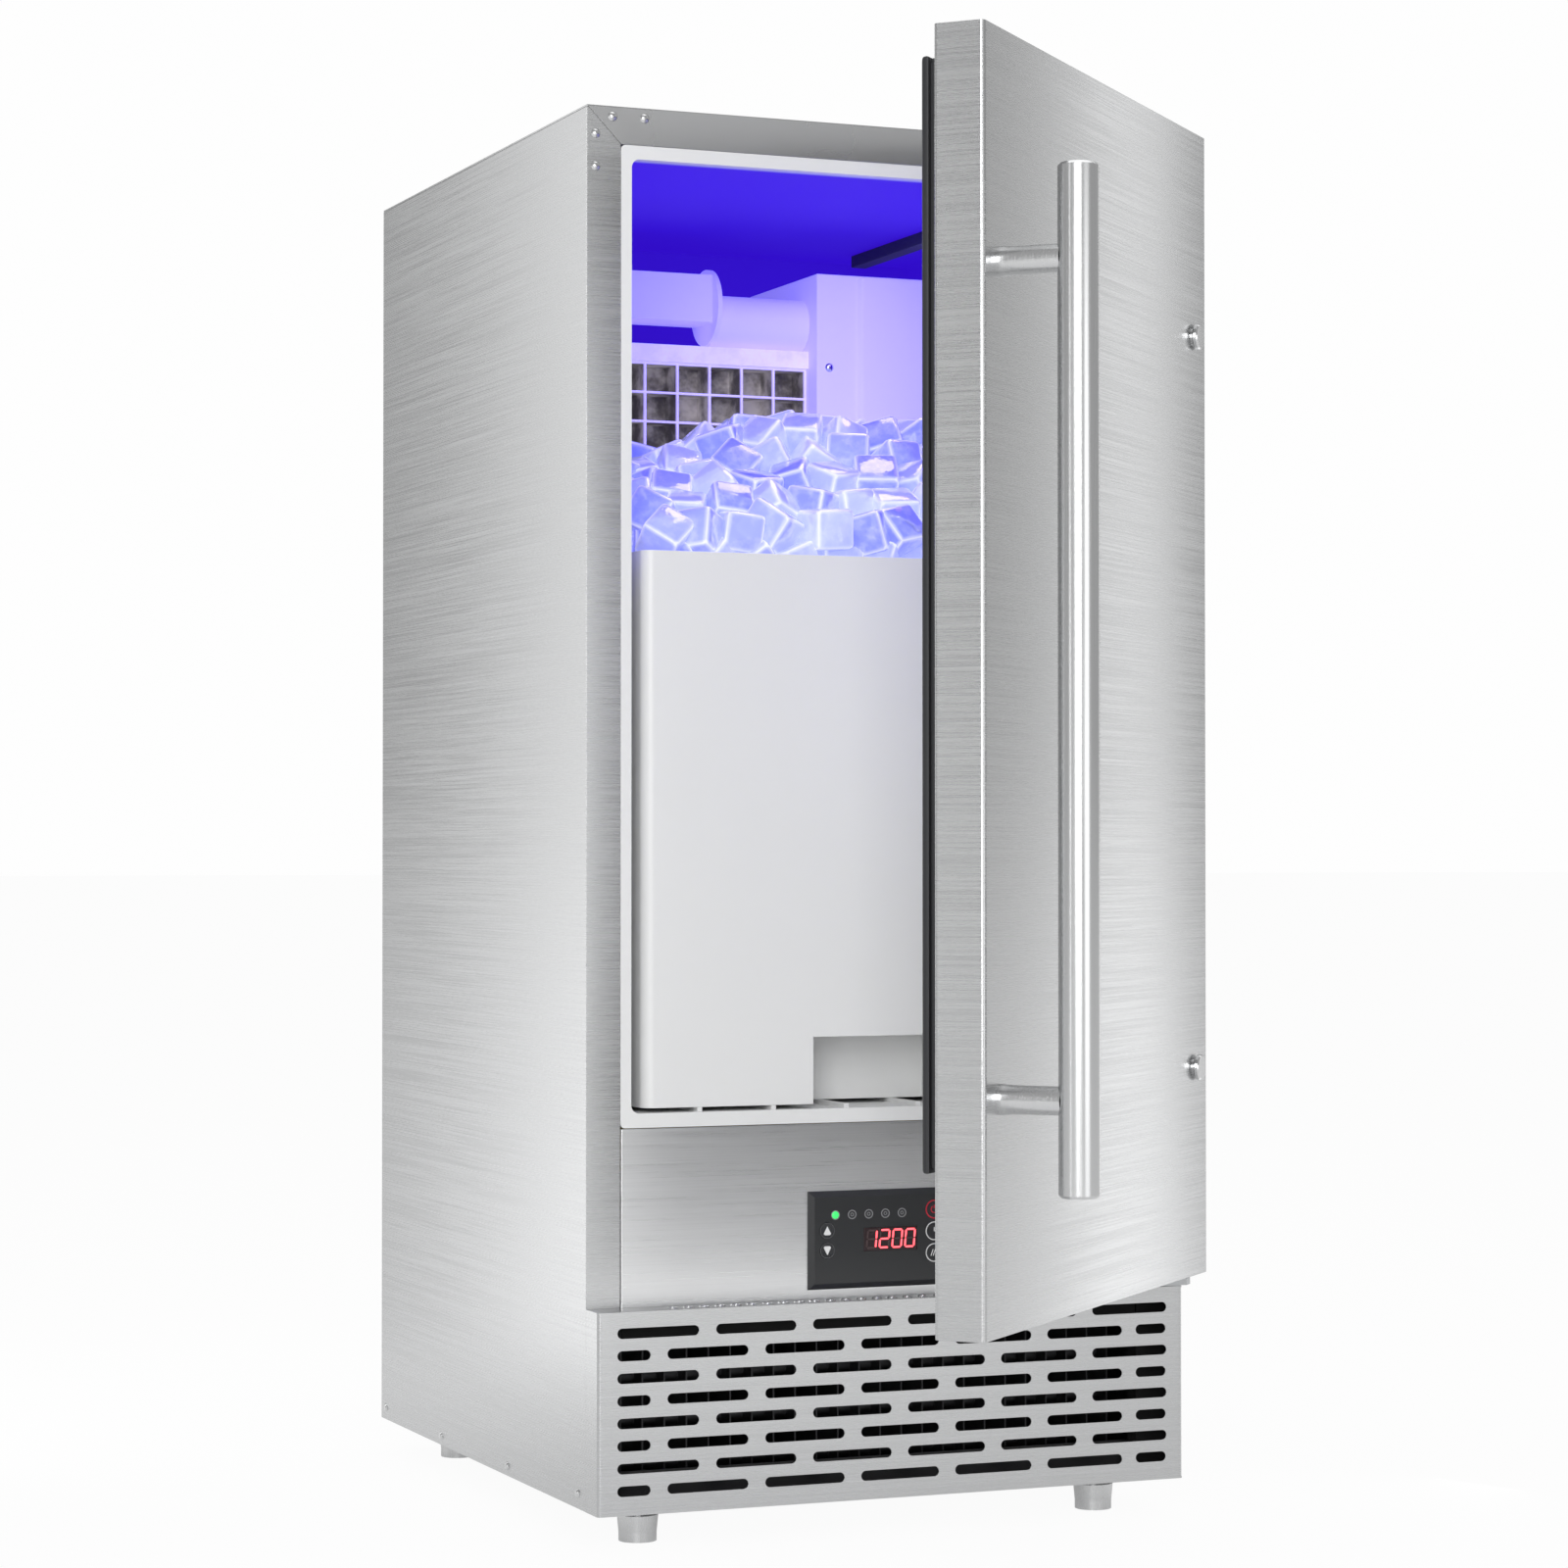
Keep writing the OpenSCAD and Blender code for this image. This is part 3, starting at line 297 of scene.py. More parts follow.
def lamp_wash_group():
    """Lamp wash: how much the compartment lamp colours a point, by its height over the bin."""
    tree, given, out = group_tree(
        "lamp_wash", [("Low", "f", 0.56), ("High", "f", 0.68)], [("Wash", "f"), ("Depth", "f")])
    place = put(tree, "ShaderNodeTexCoord").outputs["Object"]
    axes = put(tree, "ShaderNodeSeparateXYZ", {0: place})
    height = put(tree, "ShaderNodeMapRange", {"Value": axes.outputs[2], "From Min": given.outputs["Low"],
                 "From Max": given.outputs["High"]}, interpolation_type="SMOOTHSTEP").outputs[0]
    inside = ramp(tree, axes.outputs[1], FRONT_Y + 4 * MM, FRONT_Y + 13 * MM)
    left = ramp(tree, axes.outputs[0], -0.1655, -0.1635)
    right = ramp(tree, axes.outputs[0], 0.1635, 0.1655, 1.0, 0.0)
    under = ramp(tree, axes.outputs[2], CEILING_Z + 0.6 * MM, CEILING_Z + 1.6 * MM, 1.0, 0.0)
    sides = maths(tree, "MULTIPLY", left, right)
    room = maths(tree, "MULTIPLY", sides, maths(tree, "MULTIPLY", inside, under))
    tree.links.new(maths(tree, "MULTIPLY", height, room), out.inputs["Wash"])
    tree.links.new(ramp(tree, axes.outputs[1], FRONT_Y, FRONT_Y + 0.33), out.inputs["Depth"])
    return tree


def shade_group():
    """Painted shade of the machine room: 1 on what lies behind the kick grille's face, 0 on everything outside."""
    tree, given, out = group_tree("room_painted_shade", [], [("Inside", "f")])
    place = put(tree, "ShaderNodeTexCoord").outputs["Object"]
    axes = put(tree, "ShaderNodeSeparateXYZ", {0: place})
    width = maths(tree, "LESS_THAN", maths(tree, "ABSOLUTE", axes.outputs[0]), SIDE_X - 0.7 * MM)
    under = maths(tree, "LESS_THAN", axes.outputs[2], GRILLE_HIGH.z - 0.5 * MM)
    over = maths(tree, "GREATER_THAN", axes.outputs[2], GRILLE_LOW.z + 0.5 * MM)
    behind = maths(tree, "GREATER_THAN", axes.outputs[1], GRILLE_LOW.y + 1.3 * MM)
    height = maths(tree, "MULTIPLY", under, over)
    tree.links.new(maths(tree, "MULTIPLY", maths(tree, "MULTIPLY", width, behind), height),
                   out.inputs["Inside"])
    return tree


GROUPS = {}


def group(tree, name, inputs=None):
    """An instance of one of this file's node groups, made once and kept."""
    makers = {"grain": grain_group, "moulded": moulded_group, "wash": lamp_wash_group,
              "room": shade_group}
    if name not in GROUPS:
        GROUPS[name] = makers[name]()
    node = tree.nodes.new("ShaderNodeGroup")
    node.node_tree = GROUPS[name]
    for key, value in (inputs or {}).items():
        node.inputs[key].default_value = value
    return node


def new_material(name):
    """A material with an empty Principled shader; returns material, tree and shader."""
    material = bpy.data.materials.new(name)
    material.use_nodes = True
    tree = material.node_tree
    return material, tree, tree.nodes["Principled BSDF"]


def connect(tree, shader, **links):
    """Joins values to the shader's sockets; a plain number is set on the socket itself."""
    names = {"color": "Base Color", "rough": "Roughness", "metal": "Metallic", "coat": "Coat Weight",
             "coat_rough": "Coat Roughness", "glow": "Emission Color", "strength": "Emission Strength",
             "clear": "Transmission Weight", "ior": "IOR", "normal": "Normal", "gloss": "Specular IOR Level",
             "alpha": "Alpha"}
    for key, value in links.items():
        socket = shader.inputs[names[key]]
        if isinstance(value, bpy.types.NodeSocket):
            tree.links.new(value, socket)
        elif isinstance(value, (tuple, list, Vector)) and len(value) == 3:
            socket.default_value = (*value, 1.0)
        else:
            socket.default_value = value


def bumped(tree, height, strength, distance):
    """A normal from a height in metres."""
    return put(tree, "ShaderNodeBump", {"Height": height, "Strength": strength,
                                        "Distance": distance}).outputs[0]


# ------------------------------------------------------------------ materials

def brushed_metal(name, color, stretch, rough=0.25, contrast=0.05, bump=0.07, painted=False):
    """Brushed metal: streaks change its tone, roughness and height along the brushing.

    A painted one gets painted shade: black where it lies behind the kick grille's face."""
    material, tree, shader = new_material(name)
    grain = group(tree, "grain", {"Stretch": stretch})
    toned = tinted(tree, color, grain.outputs["Tone"], 1.0 - contrast, 1.0 + contrast * 0.6)
    roughness = ramp(tree, grain.outputs["Tone"], 0.0, 1.0, rough - 0.04, rough + 0.06)
    metal = 1.0
    if painted:
        # painted shade: near black, rough and not metallic behind the kick grille's face, where the machine room
        # lies in shadow
        inside = group(tree, "room").outputs["Inside"]
        toned = mixed(tree, inside, toned, (0.004, 0.004, 0.004))
        roughness = put(tree, "ShaderNodeMapRange", {"Value": inside, "To Min": roughness,
                        "To Max": 0.8}).outputs[0]
        metal = maths(tree, "SUBTRACT", 1.0, inside)
    connect(tree, shader, color=toned, rough=roughness, metal=metal,
            normal=bumped(tree, grain.outputs["Height"], bump, 0.00012))
    return material


def plain_metal(name, color, rough, cloud=0.08, metal=1.0):
    """Unbrushed metal with faint cloudy roughness."""
    material, tree, shader = new_material(name)
    skin = group(tree, "moulded", {"Peel": 500.0})
    connect(tree, shader, color=tinted(tree, color, skin.outputs["Cloud"], 1 - cloud, 1 + cloud),
            rough=ramp(tree, skin.outputs["Cloud"], 0.2, 0.8, rough * 0.85, rough * 1.2), metal=metal,
            normal=bumped(tree, skin.outputs["Peel height"], 0.15, 0.0001))
    return material


def moulded_plastic(name, color, rough, peel=900.0, bump=0.12, cloud=0.02, coat=0.0):
    """Moulded plastic with a fine orange peel and a faint cloudiness."""
    material, tree, shader = new_material(name)
    skin = group(tree, "moulded", {"Peel": peel})
    connect(tree, shader, color=tinted(tree, color, skin.outputs["Cloud"], 1 - cloud, 1 + cloud),
            rough=ramp(tree, skin.outputs["Cloud"], 0.2, 0.8, rough * 0.9, rough * 1.12),
            coat=coat, normal=bumped(tree, skin.outputs["Peel height"], bump, 0.00008))
    return material


def washed_plastic(name, color, rough, lamp_tint, light, wash=1.0, glow=0.5, low=0.56, high=0.70):
    """White plastic in the compartment, with the compartment lamp's violet light painted into its colour and glow
    where the lamp over the bin washes it.
    """
    material, tree, shader = new_material(name)
    skin = group(tree, "moulded", {"Peel": 700.0})
    lamp = group(tree, "wash", {"Low": low, "High": high})
    base = tinted(tree, color, skin.outputs["Cloud"], 0.985, 1.01)
    amount = maths(tree, "MULTIPLY", lamp.outputs["Wash"], wash)
    shaded = maths(tree, "MULTIPLY", lamp.outputs["Wash"],
                   ramp(tree, lamp.outputs["Depth"], 0.0, 1.0, 1.0, 0.72))
    # painted light: the lamp's colour mixed into the base colour by the wash
    lamp_tinted = mixed(tree, amount, base, lamp_tint)
    roughness = ramp(tree, amount, 0.0, 1.0, rough, 0.7)
    # painted light: the plastic glows in the lamp's colour, less further back
    connect(tree, shader, color=lamp_tinted, rough=roughness, strength=glow, gloss=0.3,
            glow=mixed(tree, shaded, (0, 0, 0), light),
            normal=bumped(tree, skin.outputs["Peel height"], 0.1, 0.00008))
    return material


def cell_metal():
    """Cell walls in violet with a glow of their own, as painted lamp light, and cell backs made dark as painted
    shade in the cells, with frost on them; told apart by their depth.
    """
    material, tree, shader = new_material("cell_plate")
    place = put(tree, "ShaderNodeTexCoord").outputs["Object"]
    axes = put(tree, "ShaderNodeSeparateXYZ", {0: place})
    depth = ramp(tree, axes.outputs[1], CELL_LOW.y + 4.4 * MM, CELL_LOW.y + 7.5 * MM)
    back = maths(tree, "MULTIPLY", depth,
                 maths(tree, "LESS_THAN", axes.outputs[2], CELL_HIGH.z - 10.8 * MM))
    frost = ramp(tree, noise(tree, place, 38.0, 4.0, 0.65), 0.36, 0.68)
    # painted light: violet, glowing cell walls; painted shade: dark cell backs, lighter and faintly glowing where
    # frost lies
    wall = mixed(tree, frost, (0.62, 0.56, 0.88), (0.78, 0.72, 0.96))
    deep = mixed(tree, frost, (0.085, 0.075, 0.07), (0.40, 0.37, 0.36))
    connect(tree, shader, color=mixed(tree, back, wall, deep), rough=0.45,
            metal=maths(tree, "MULTIPLY", back, 0.3),
            glow=mixed(tree, back, (0.50, 0.44, 0.95), mixed(tree, frost, (0.03, 0.027, 0.035),
                       (0.26, 0.24, 0.26))), strength=0.55)
    return material


def glowing(name, color, glow, strength, rough=0.35):
    """A lit cap or diffuser: its colour plus light of its own, a little uneven."""
    material, tree, shader = new_material(name)
    skin = group(tree, "moulded", {"Peel": 400.0})
    connect(tree, shader, color=tinted(tree, color, skin.outputs["Cloud"], 0.95, 1.05), rough=rough,
            glow=tinted(tree, glow, skin.outputs["Cloud"], 0.9, 1.1), strength=strength)
    return material


def ice_material():
    """Clear, slightly cloudy ice with a cloudy core; the white rims from the cube's own rim value are a painted
    highlight, and the violet core and the glow are painted lamp light.
    """
    material, tree, shader = new_material("clear_ice")
    rim = put(tree, "ShaderNodeAttribute", attribute_name="rim").outputs["Fac"]
    shade = put(tree, "ShaderNodeAttribute", attribute_name="shade").outputs["Fac"]
    place = put(tree, "ShaderNodeTexCoord").outputs["Object"]
    cloud = ramp(tree, noise(tree, place, 90.0, 3.0, 0.6), 0.42, 0.72)
    # painted lamp light: a violet core, darker or lighter at random per cube
    core = mixed(tree, shade, (0.26, 0.31, 0.88), (0.62, 0.68, 0.99))
    body = mixed(tree, maths(tree, "MULTIPLY", cloud, 0.4), core, (0.92, 0.94, 1.0))
    # painted highlight: white, glowing rims; painted lamp light: the rest of each cube glows violet
    edge = maths(tree, "POWER", rim, 1.6)
    soft = mixed(tree, shade, (0.24, 0.26, 0.92), (0.60, 0.63, 1.0))
    glow = mixed(tree, edge, soft, (0.95, 0.96, 1.0))
    connect(tree, shader, color=mixed(tree, edge, body, (0.97, 0.98, 1.0)), rough=0.09, clear=0.4,
            ior=1.31, glow=glow, strength=0.27,
            normal=bumped(tree, cloud, 0.25, 0.0006))
    return material


def display_material():
    """Smoked window: nearly black, glossy, with a faint red cast."""
    material, tree, shader = new_material("smoked_window")
    skin = group(tree, "moulded", {"Peel": 300.0})
    connect(tree, shader, color=tinted(tree, (0.030, 0.016, 0.018), skin.outputs["Cloud"], 0.8, 1.2),
            rough=0.18)
    return material


def stage_material(name, color, camera_white):
    """A pale surface that camera, mirror and clear rays see as plain white by camera_white."""
    material, tree, shader = new_material(name)
    skin = group(tree, "moulded", {"Peel": 60.0})
    connect(tree, shader, color=tinted(tree, color, skin.outputs["Cloud"], 0.99, 1.0), rough=0.6)
    rays = put(tree, "ShaderNodeLightPath")
    white = put(tree, "ShaderNodeEmission", {"Color": (1, 1, 1, 1), "Strength": 1.0})
    seen = maths(tree, "MULTIPLY", rays.outputs["Is Camera Ray"], camera_white)
    mirrored = maths(tree, "ADD", rays.outputs["Is Glossy Ray"], rays.outputs["Is Transmission Ray"])
    factor = maths(tree, "ADD", seen, maths(tree, "MULTIPLY", mirrored, MIRRORED_WHITE), True)
    blend = put(tree, "ShaderNodeMixShader", {0: factor, 1: shader.outputs[0], 2: white.outputs[0]})
    tree.links.new(blend.outputs[0], tree.nodes["Material Output"].inputs[0])
    return material


HORIZONTAL = (4.0, 4.0, 900.0)
LENGTHWAYS = (4.0, 900.0, 4.0)
UPRIGHT = (700.0, 700.0, 4.0)


def build_materials():
    """Every finish, by the record's slot, with extra ones for single nodes."""
    colors = finish_props()
    steel, bright, white = tuple(colors.steel), tuple(colors.bright), tuple(colors.white)
    black, glow = tuple(colors.black), tuple(colors.glow)
    made = {
        # painted shade: the brushed and the sill steel turn black behind the kick grille's face
        "brushed_steel": brushed_metal("brushed_steel", steel, HORIZONTAL, painted=True),
        "top_steel": brushed_metal("top_steel", steel, LENGTHWAYS),
        # painted light: the sill's steel is a lighter copy of the brushed steel, standing in for a brighter
        # reflection on the sill
        "sill_lightened_steel": brushed_metal("sill_lightened_steel", (0.80, 0.805, 0.81), HORIZONTAL, 0.3, painted=True),
        "galvanised": plain_metal("galvanised_sheet", (0.50, 0.51, 0.52), 0.42, 0.14),
        # painted light: the liner and the covers carry the compartment lamp's violet in their colour and glow; the
        # covers' own base colour is tinted violet as well
        "liner_plastic": washed_plastic("liner_plastic", white, 0.34, (0.012, 0.002, 0.16), glow,
                                        glow=0.66),
        "cover_plastic": washed_plastic("cover_plastic", (0.80, 0.79, 0.90), 0.36, (0.62, 0.57, 0.98),
                                        (0.50, 0.44, 0.98), wash=0.8, glow=0.38),
        "bin_plastic": moulded_plastic("bin_plastic", white, 0.36),
        "door_plastic": moulded_plastic("door_plastic", white, 0.4),
        "insulation": moulded_plastic("foam", (0.75, 0.62, 0.32), 0.9, 200.0, 0.5, 0.1),
        "polished_steel": plain_metal("polished_steel", bright, 0.16),
        "dark_plastic": moulded_plastic("dark_plastic", (0.035, 0.036, 0.04), 0.5),
        "gasket_rubber": moulded_plastic("gasket_rubber", (0.022, 0.023, 0.026), 0.42, 500.0, 0.2),
        "handle_steel": brushed_metal("handle_steel", bright, UPRIGHT, 0.22, 0.02, 0.04),
        "bush_plastic": moulded_plastic("bush_plastic", (0.72, 0.72, 0.69), 0.4),
        "nickel_plate": cell_metal(),
        "copper_tube": plain_metal("copper_tube", tuple(colors.copper), 0.28, 0.18),
        "float_plastic": moulded_plastic("float_plastic", (0.62, 0.16, 0.04), 0.45),
        "lamp_glow": glowing("lamp_glow", (0.35, 0.30, 1.0), glow, 5.0),
        "clear_tube": moulded_plastic("clear_tube", (0.62, 0.66, 0.70), 0.2),
        "black_paint": moulded_plastic("black_paint", (0.02, 0.02, 0.022), 0.3, 600.0, 0.25, 0.05),
        "condenser_fins": plain_metal("condenser_fins", (0.10, 0.10, 0.105), 0.5, 0.2),
        "bezel_gloss": moulded_plastic("bezel_gloss", black, 0.3, 1200.0, 0.18),
        "display_smoke": display_material(),
        "lamp_caps": moulded_plastic("lamp_caps", (0.035, 0.037, 0.04), 0.3),
        "board_green": moulded_plastic("board_green", (0.02, 0.12, 0.05), 0.4),
        "key_gloss": moulded_plastic("key_gloss", (0.024, 0.025, 0.028), 0.28),
        "foot_steel": brushed_metal("foot_steel", bright, UPRIGHT, 0.24, 0.02, 0.04),
        "ice": ice_material(),
        "print_white": moulded_plastic("print_white", (0.82, 0.82, 0.82), 0.5),
        "print_grey": moulded_plastic("print_grey", (0.30, 0.30, 0.31), 0.5),
        "ring_dim": moulded_plastic("ring_dim", (0.09, 0.09, 0.095), 0.5),
        "print_red": moulded_plastic("print_red", (0.72, 0.02, 0.05), 0.5),
        "digit_lit": glowing("digit_lit", tuple(colors.digits), (1.0, 0.10, 0.12), 2.4),
        "digit_off": moulded_plastic("digit_off", (0.06, 0.035, 0.036), 0.4),
        "lamp_green": glowing("lamp_green", (0.03, 0.55, 0.10), (0.05, 0.75, 0.16), 0.9),
    }
    return made


MATERIALS = {}

# Nodes whose finish differs from their slot's
SPECIAL = {"top_panel": "top_steel", "door_liner": "door_plastic", "water_distributor": "cover_plastic",
           # painted shade: the base pan is painted black for the dark machine room behind the kick grille, though
           # the real pan is galvanised
           "pump_cover": "cover_plastic", "water_trough": "cover_plastic", "base_pan": "black_paint",
           # painted light: the sill takes the lightened copy of the steel
           "lower_front_panel": "sill_lightened_steel"}
# Edge rounding of nodes that differ from the rest, in metres
EDGES = {"inner_liner": 1.3 * MM, "ice_bin": 1.6 * MM, "door_skin": 0.3 * MM, "handle_bar": 0.8 * MM,
         "evaporator_grid": 0.25 * MM, "kick_grille": 0.3 * MM, "compressor": 1.2 * MM,
         "water_distributor": 1.0 * MM, "pump_cover": 0.7 * MM, "cabinet_screws": 0.25 * MM,
         "foam_insulation": 0.3 * MM, "side_panel_left": 0.45 * MM, "side_panel_right": 0.45 * MM,
         "top_panel": 0.45 * MM, "control_bezel": 0.3 * MM, "condenser": 0.12 * MM,
         "fan_blade": 0.2 * MM, "control_board": 0.2 * MM}


class ICEMAKER_OT_finishes(bpy.types.Operator):
    """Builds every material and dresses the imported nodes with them"""

    bl_idname = "icemaker.finishes"
    bl_label = "Finishes"

    def execute(self, context):
        MATERIALS.update(build_materials())
        slots = {s["node"]: s["material_slot"] for s in frame["record"]["subparts"]}
        for name, node in NODES.items():
            chosen = MATERIALS[SPECIAL.get(name, slots[name])]
            node.data.materials.clear()
            node.data.materials.append(chosen)
            node.data.polygons.foreach_set("use_smooth", np.ones(len(node.data.polygons), bool))
            bevel(node, EDGES.get(name, size_props().edge))
        return {"FINISHED"}


# ------------------------------------------------------------------ ice

def rounded_cubes(centres, turns, sizes, core=0.74):
    """Rounded cubes as one array of points and quads, with a rim value for each point.

    A point on a 3 by 3 panel of each cube face is pulled in so that it lies on a small cube's
    surface grown by a ball: position = core * sign + (1 - core) * unit direction of what is left.
    """
    steps = np.array([-1.0, -core, core, 1.0])
    u, v = (a.ravel() for a in np.meshgrid(steps, steps, indexing="ij"))
    panels = []
    for axis in range(3):
        for side in (-1.0, 1.0):
            p = np.zeros((16, 3))
            p[:, axis] = side
            p[:, (axis + 1) % 3] = u if side > 0 else v
            p[:, (axis + 2) % 3] = v if side > 0 else u
            panels.append(p)
    points = np.concatenate(panels)
    held = np.clip(points, -core, core)
    rest = points - held
    points = held + (1 - core) * rest / np.maximum(np.linalg.norm(rest, axis=1, keepdims=True), 1e-9)
    rim = (np.abs(np.concatenate(panels)) > 0.99).sum(1) > 1
    quads = np.concatenate([grid_faces(4, 4) + 16 * k for k in range(6)])
    keys = np.round(points * 1e5).astype(int)
    _, first, back = np.unique(keys, axis=0, return_index=True, return_inverse=True)
    points, rim, quads = points[first], rim[first], back.ravel()[quads]
    count = len(centres)
    placed = np.einsum("nij,nkj->nki", turns, points[None] * sizes[:, None, :] / 2) + centres[:, None]
    faces = quads[None] + (np.arange(count) * len(points))[:, None, None]
    return placed.reshape(-1, 3), faces.reshape(-1, 4), np.tile(rim, count).astype(float)


def random_turns(draw, count):
    """Rotation matrices from random unit quaternions."""
    q = draw.normal(size=(count, 4))
    w, x, y, z = (q / np.linalg.norm(q, axis=1, keepdims=True)).T
    rows = [[1 - 2 * (y * y + z * z), 2 * (x * y - z * w), 2 * (x * z + y * w)],
            [2 * (x * y + z * w), 1 - 2 * (x * x + z * z), 2 * (y * z - x * w)],
            [2 * (x * z - y * w), 2 * (y * z + x * w), 1 - 2 * (x * x + y * y)]]
    return np.array(rows).transpose(2, 0, 1)


def heap_height(x, y, rise):
    """Height of the ice over the bin's rim: a broad mound with three soft peaks, lower in front."""
    across = 0.62 + 0.38 * np.cos((x - 0.02) / 0.152 * 1.35)
    deep = np.clip((y - BIN_LOW.y) / 0.12, 0, 1)
    peaks = (0.16 * np.exp(-((x + 0.01) ** 2 + (y + 0.03) ** 2) / 0.0016)
             + 0.14 * np.exp(-((x - 0.09) ** 2 + (y + 0.05) ** 2) / 0.0020)
             - 0.08 * np.exp(-((x + 0.11) ** 2 + (y + 0.08) ** 2) / 0.0016))
    return rise * (0.05 + 0.80 * deep ** 0.8 * across + deep * peaks)


class ICEMAKER_OT_ice(bpy.types.Operator):
    """Fills the bin with a heap of rounded ice cubes"""

    bl_idname = "icemaker.ice"
    bl_label = "Ice"

    def execute(self, context):
        sizes = size_props()
        if not sizes.show_ice:
            return {"FINISHED"}
        draw = np.random.default_rng(21)
        step = sizes.cube * 1.03
        margin = sizes.cube * 0.72 + BIN_WALL
        xs = np.arange(BIN_LOW.x + margin, BIN_HIGH.x - margin + 1e-6, step)
        ys = np.arange(BIN_LOW.y + margin, BIN_HIGH.y - margin + 1e-6, step)
        layers = np.arange(5)
        x, y, k = (a.ravel().astype(float) for a in np.meshgrid(xs, ys, layers, indexing="ij"))
        x = x + (k % 2 - 0.5) * step * 0.35 + draw.normal(0, 0.0026, len(x))
        y = y + ((k // 2) % 2 - 0.5) * step * 0.35 + draw.normal(0, 0.0026, len(x))
        x = np.clip(x, BIN_LOW.x + margin, BIN_HIGH.x - margin)
        y = np.clip(y, BIN_LOW.y + margin, BIN_HIGH.y - margin)
        top = BIN_HIGH.z + heap_height(x, y, sizes.heap) - sizes.cube * 0.25
        z = top - k * sizes.cube * 0.86 + draw.normal(0, 0.0022, len(x))
        keep = z > BIN_HIGH.z - 3.2 * sizes.cube
        centres = np.stack([x, y, z], 1)[keep]
        count = len(centres)
        edges = sizes.cube * (1 + draw.normal(0, 0.05, (count, 3)))
        points, faces, rim = rounded_cubes(centres, random_turns(draw, count), edges)
        piece = mesh_piece("ice_heap", points, faces, "bin", MATERIALS["ice"])
        per_cube = len(points) // count
        # rim marks each cube's rounded edges, where the ice material paints a highlight; shade is a random value
        # per cube for its painted violet
        for label, values in (("rim", rim), ("shade", np.repeat(draw.uniform(0, 1, count), per_cube))):
            store = piece.data.attributes.new(label, "FLOAT", "POINT")
            store.data.foreach_set("value", values.astype(np.float32))
        return {"FINISHED"}


# ------------------------------------------------------------------ door gasket

def bulb_profile(depth, band):
    """Gasket section from its outer edge inwards, as distance in from the edge and out from the door.

    A foot strip, a narrow groove and a soft bulb whose outline is half of a flattened circle."""
    turn = np.linspace(0, math.pi, 15)
    bulb_in = band / 2 - band / 2 * np.cos(turn)
    bulb_out = depth * 0.62 + depth * 0.38 * np.sin(turn) ** 0.6
    start = np.array([[1.2, 0.0], [1.2, depth * 0.36], [3.0, depth * 0.40], [3.0, depth * 0.50],
                      [0.2, depth * 0.54]])
    end = np.array([[band - 0.2, depth * 0.54], [band - 3.0, depth * 0.50], [band - 3.0, depth * 0.40],
                    [band - 1.2, depth * 0.36], [band - 1.2, 0.0]])
    return np.concatenate([start, np.stack([bulb_in, bulb_out], 1), end]) * MM


class ICEMAKER_OT_gasket(bpy.types.Operator):
    """Carries the gasket's section round the door, mitred at the corners"""

    bl_idname = "icemaker.gasket"
    bl_label = "Gasket"

    def execute(self, context):
        section = bulb_profile(12.0, 20.0)
        x = DOOR_HALF - 9.2 * MM
        low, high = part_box("door_gasket")[0].z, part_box("door_gasket")[1].z
        corner = np.array([[-x, low], [x, low], [x, high], [-x, high]])
        inward = np.array([[1, 1], [-1, 1], [-1, -1], [1, -1]], float)
        ring = corner[:, None, :] + inward[:, None, :] * section[None, :, :1]
        y = np.broadcast_to(DOOR_REAR_Y + section[None, :, 1], ring.shape[:2])
        points = np.stack([ring[..., 0], y, ring[..., 1]], -1)
        faces = grid_faces(4, len(section), True, True)
        piece = mesh_piece("gasket_seal", with_door(points).reshape(-1, 3), faces, "door",
                           MATERIALS["gasket_rubber"])
        smooth_by_angle(piece, 40)
        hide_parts("door_gasket")
        return {"FINISHED"}


def smooth_by_angle(piece, degrees):
    """Smooth shading with edges sharper than an angle kept sharp."""
    piece.data.set_sharp_from_angle(angle=math.radians(degrees))


# ------------------------------------------------------------------ handle posts

class ICEMAKER_OT_posts(bpy.types.Operator):
    """Turned handle posts that flare softly where they meet the door"""

    bl_idname = "icemaker.posts"
    bl_label = "Handle posts"

    def execute(self, context):
        bar_low, bar_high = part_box("handle_bar")
        post_low, post_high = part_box("handle_posts")
        bar = np.array([(bar_low.x + bar_high.x) / 2, (bar_low.y + bar_high.y) / 2])
        radius, flare, reach = 7.7 * MM, 0.9 * MM, 35.5 * MM
        along = np.linspace(0, 1, 22)
        turn = np.linspace(0, 2 * math.pi, 48, endpoint=False)
        profile = radius + flare * np.exp(-along * 9) - 0.35 * MM * (along < 0.001)
        x0 = -DOOR_HALF + 23.2 * MM
        for label, z in (("low", post_low.z + 8.6 * MM), ("high", post_high.z - 8.6 * MM)):
            r, a = np.meshgrid(profile, turn, indexing="ij")
            y = DOOR_FRONT_Y - along[:, None] * reach + 0 * a
            points = np.stack([x0 + r * np.cos(a), y, z + r * np.sin(a)], -1)
            faces = grid_faces(len(along), len(turn), False, True)
            piece = mesh_piece(f"handle_post_{label}", with_door(points).reshape(-1, 3), faces,
                               "door", MATERIALS["handle_steel"])
            if label == "low":
                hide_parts("handle_posts")
        return {"FINISHED"}


# ------------------------------------------------------------------ small sheet details

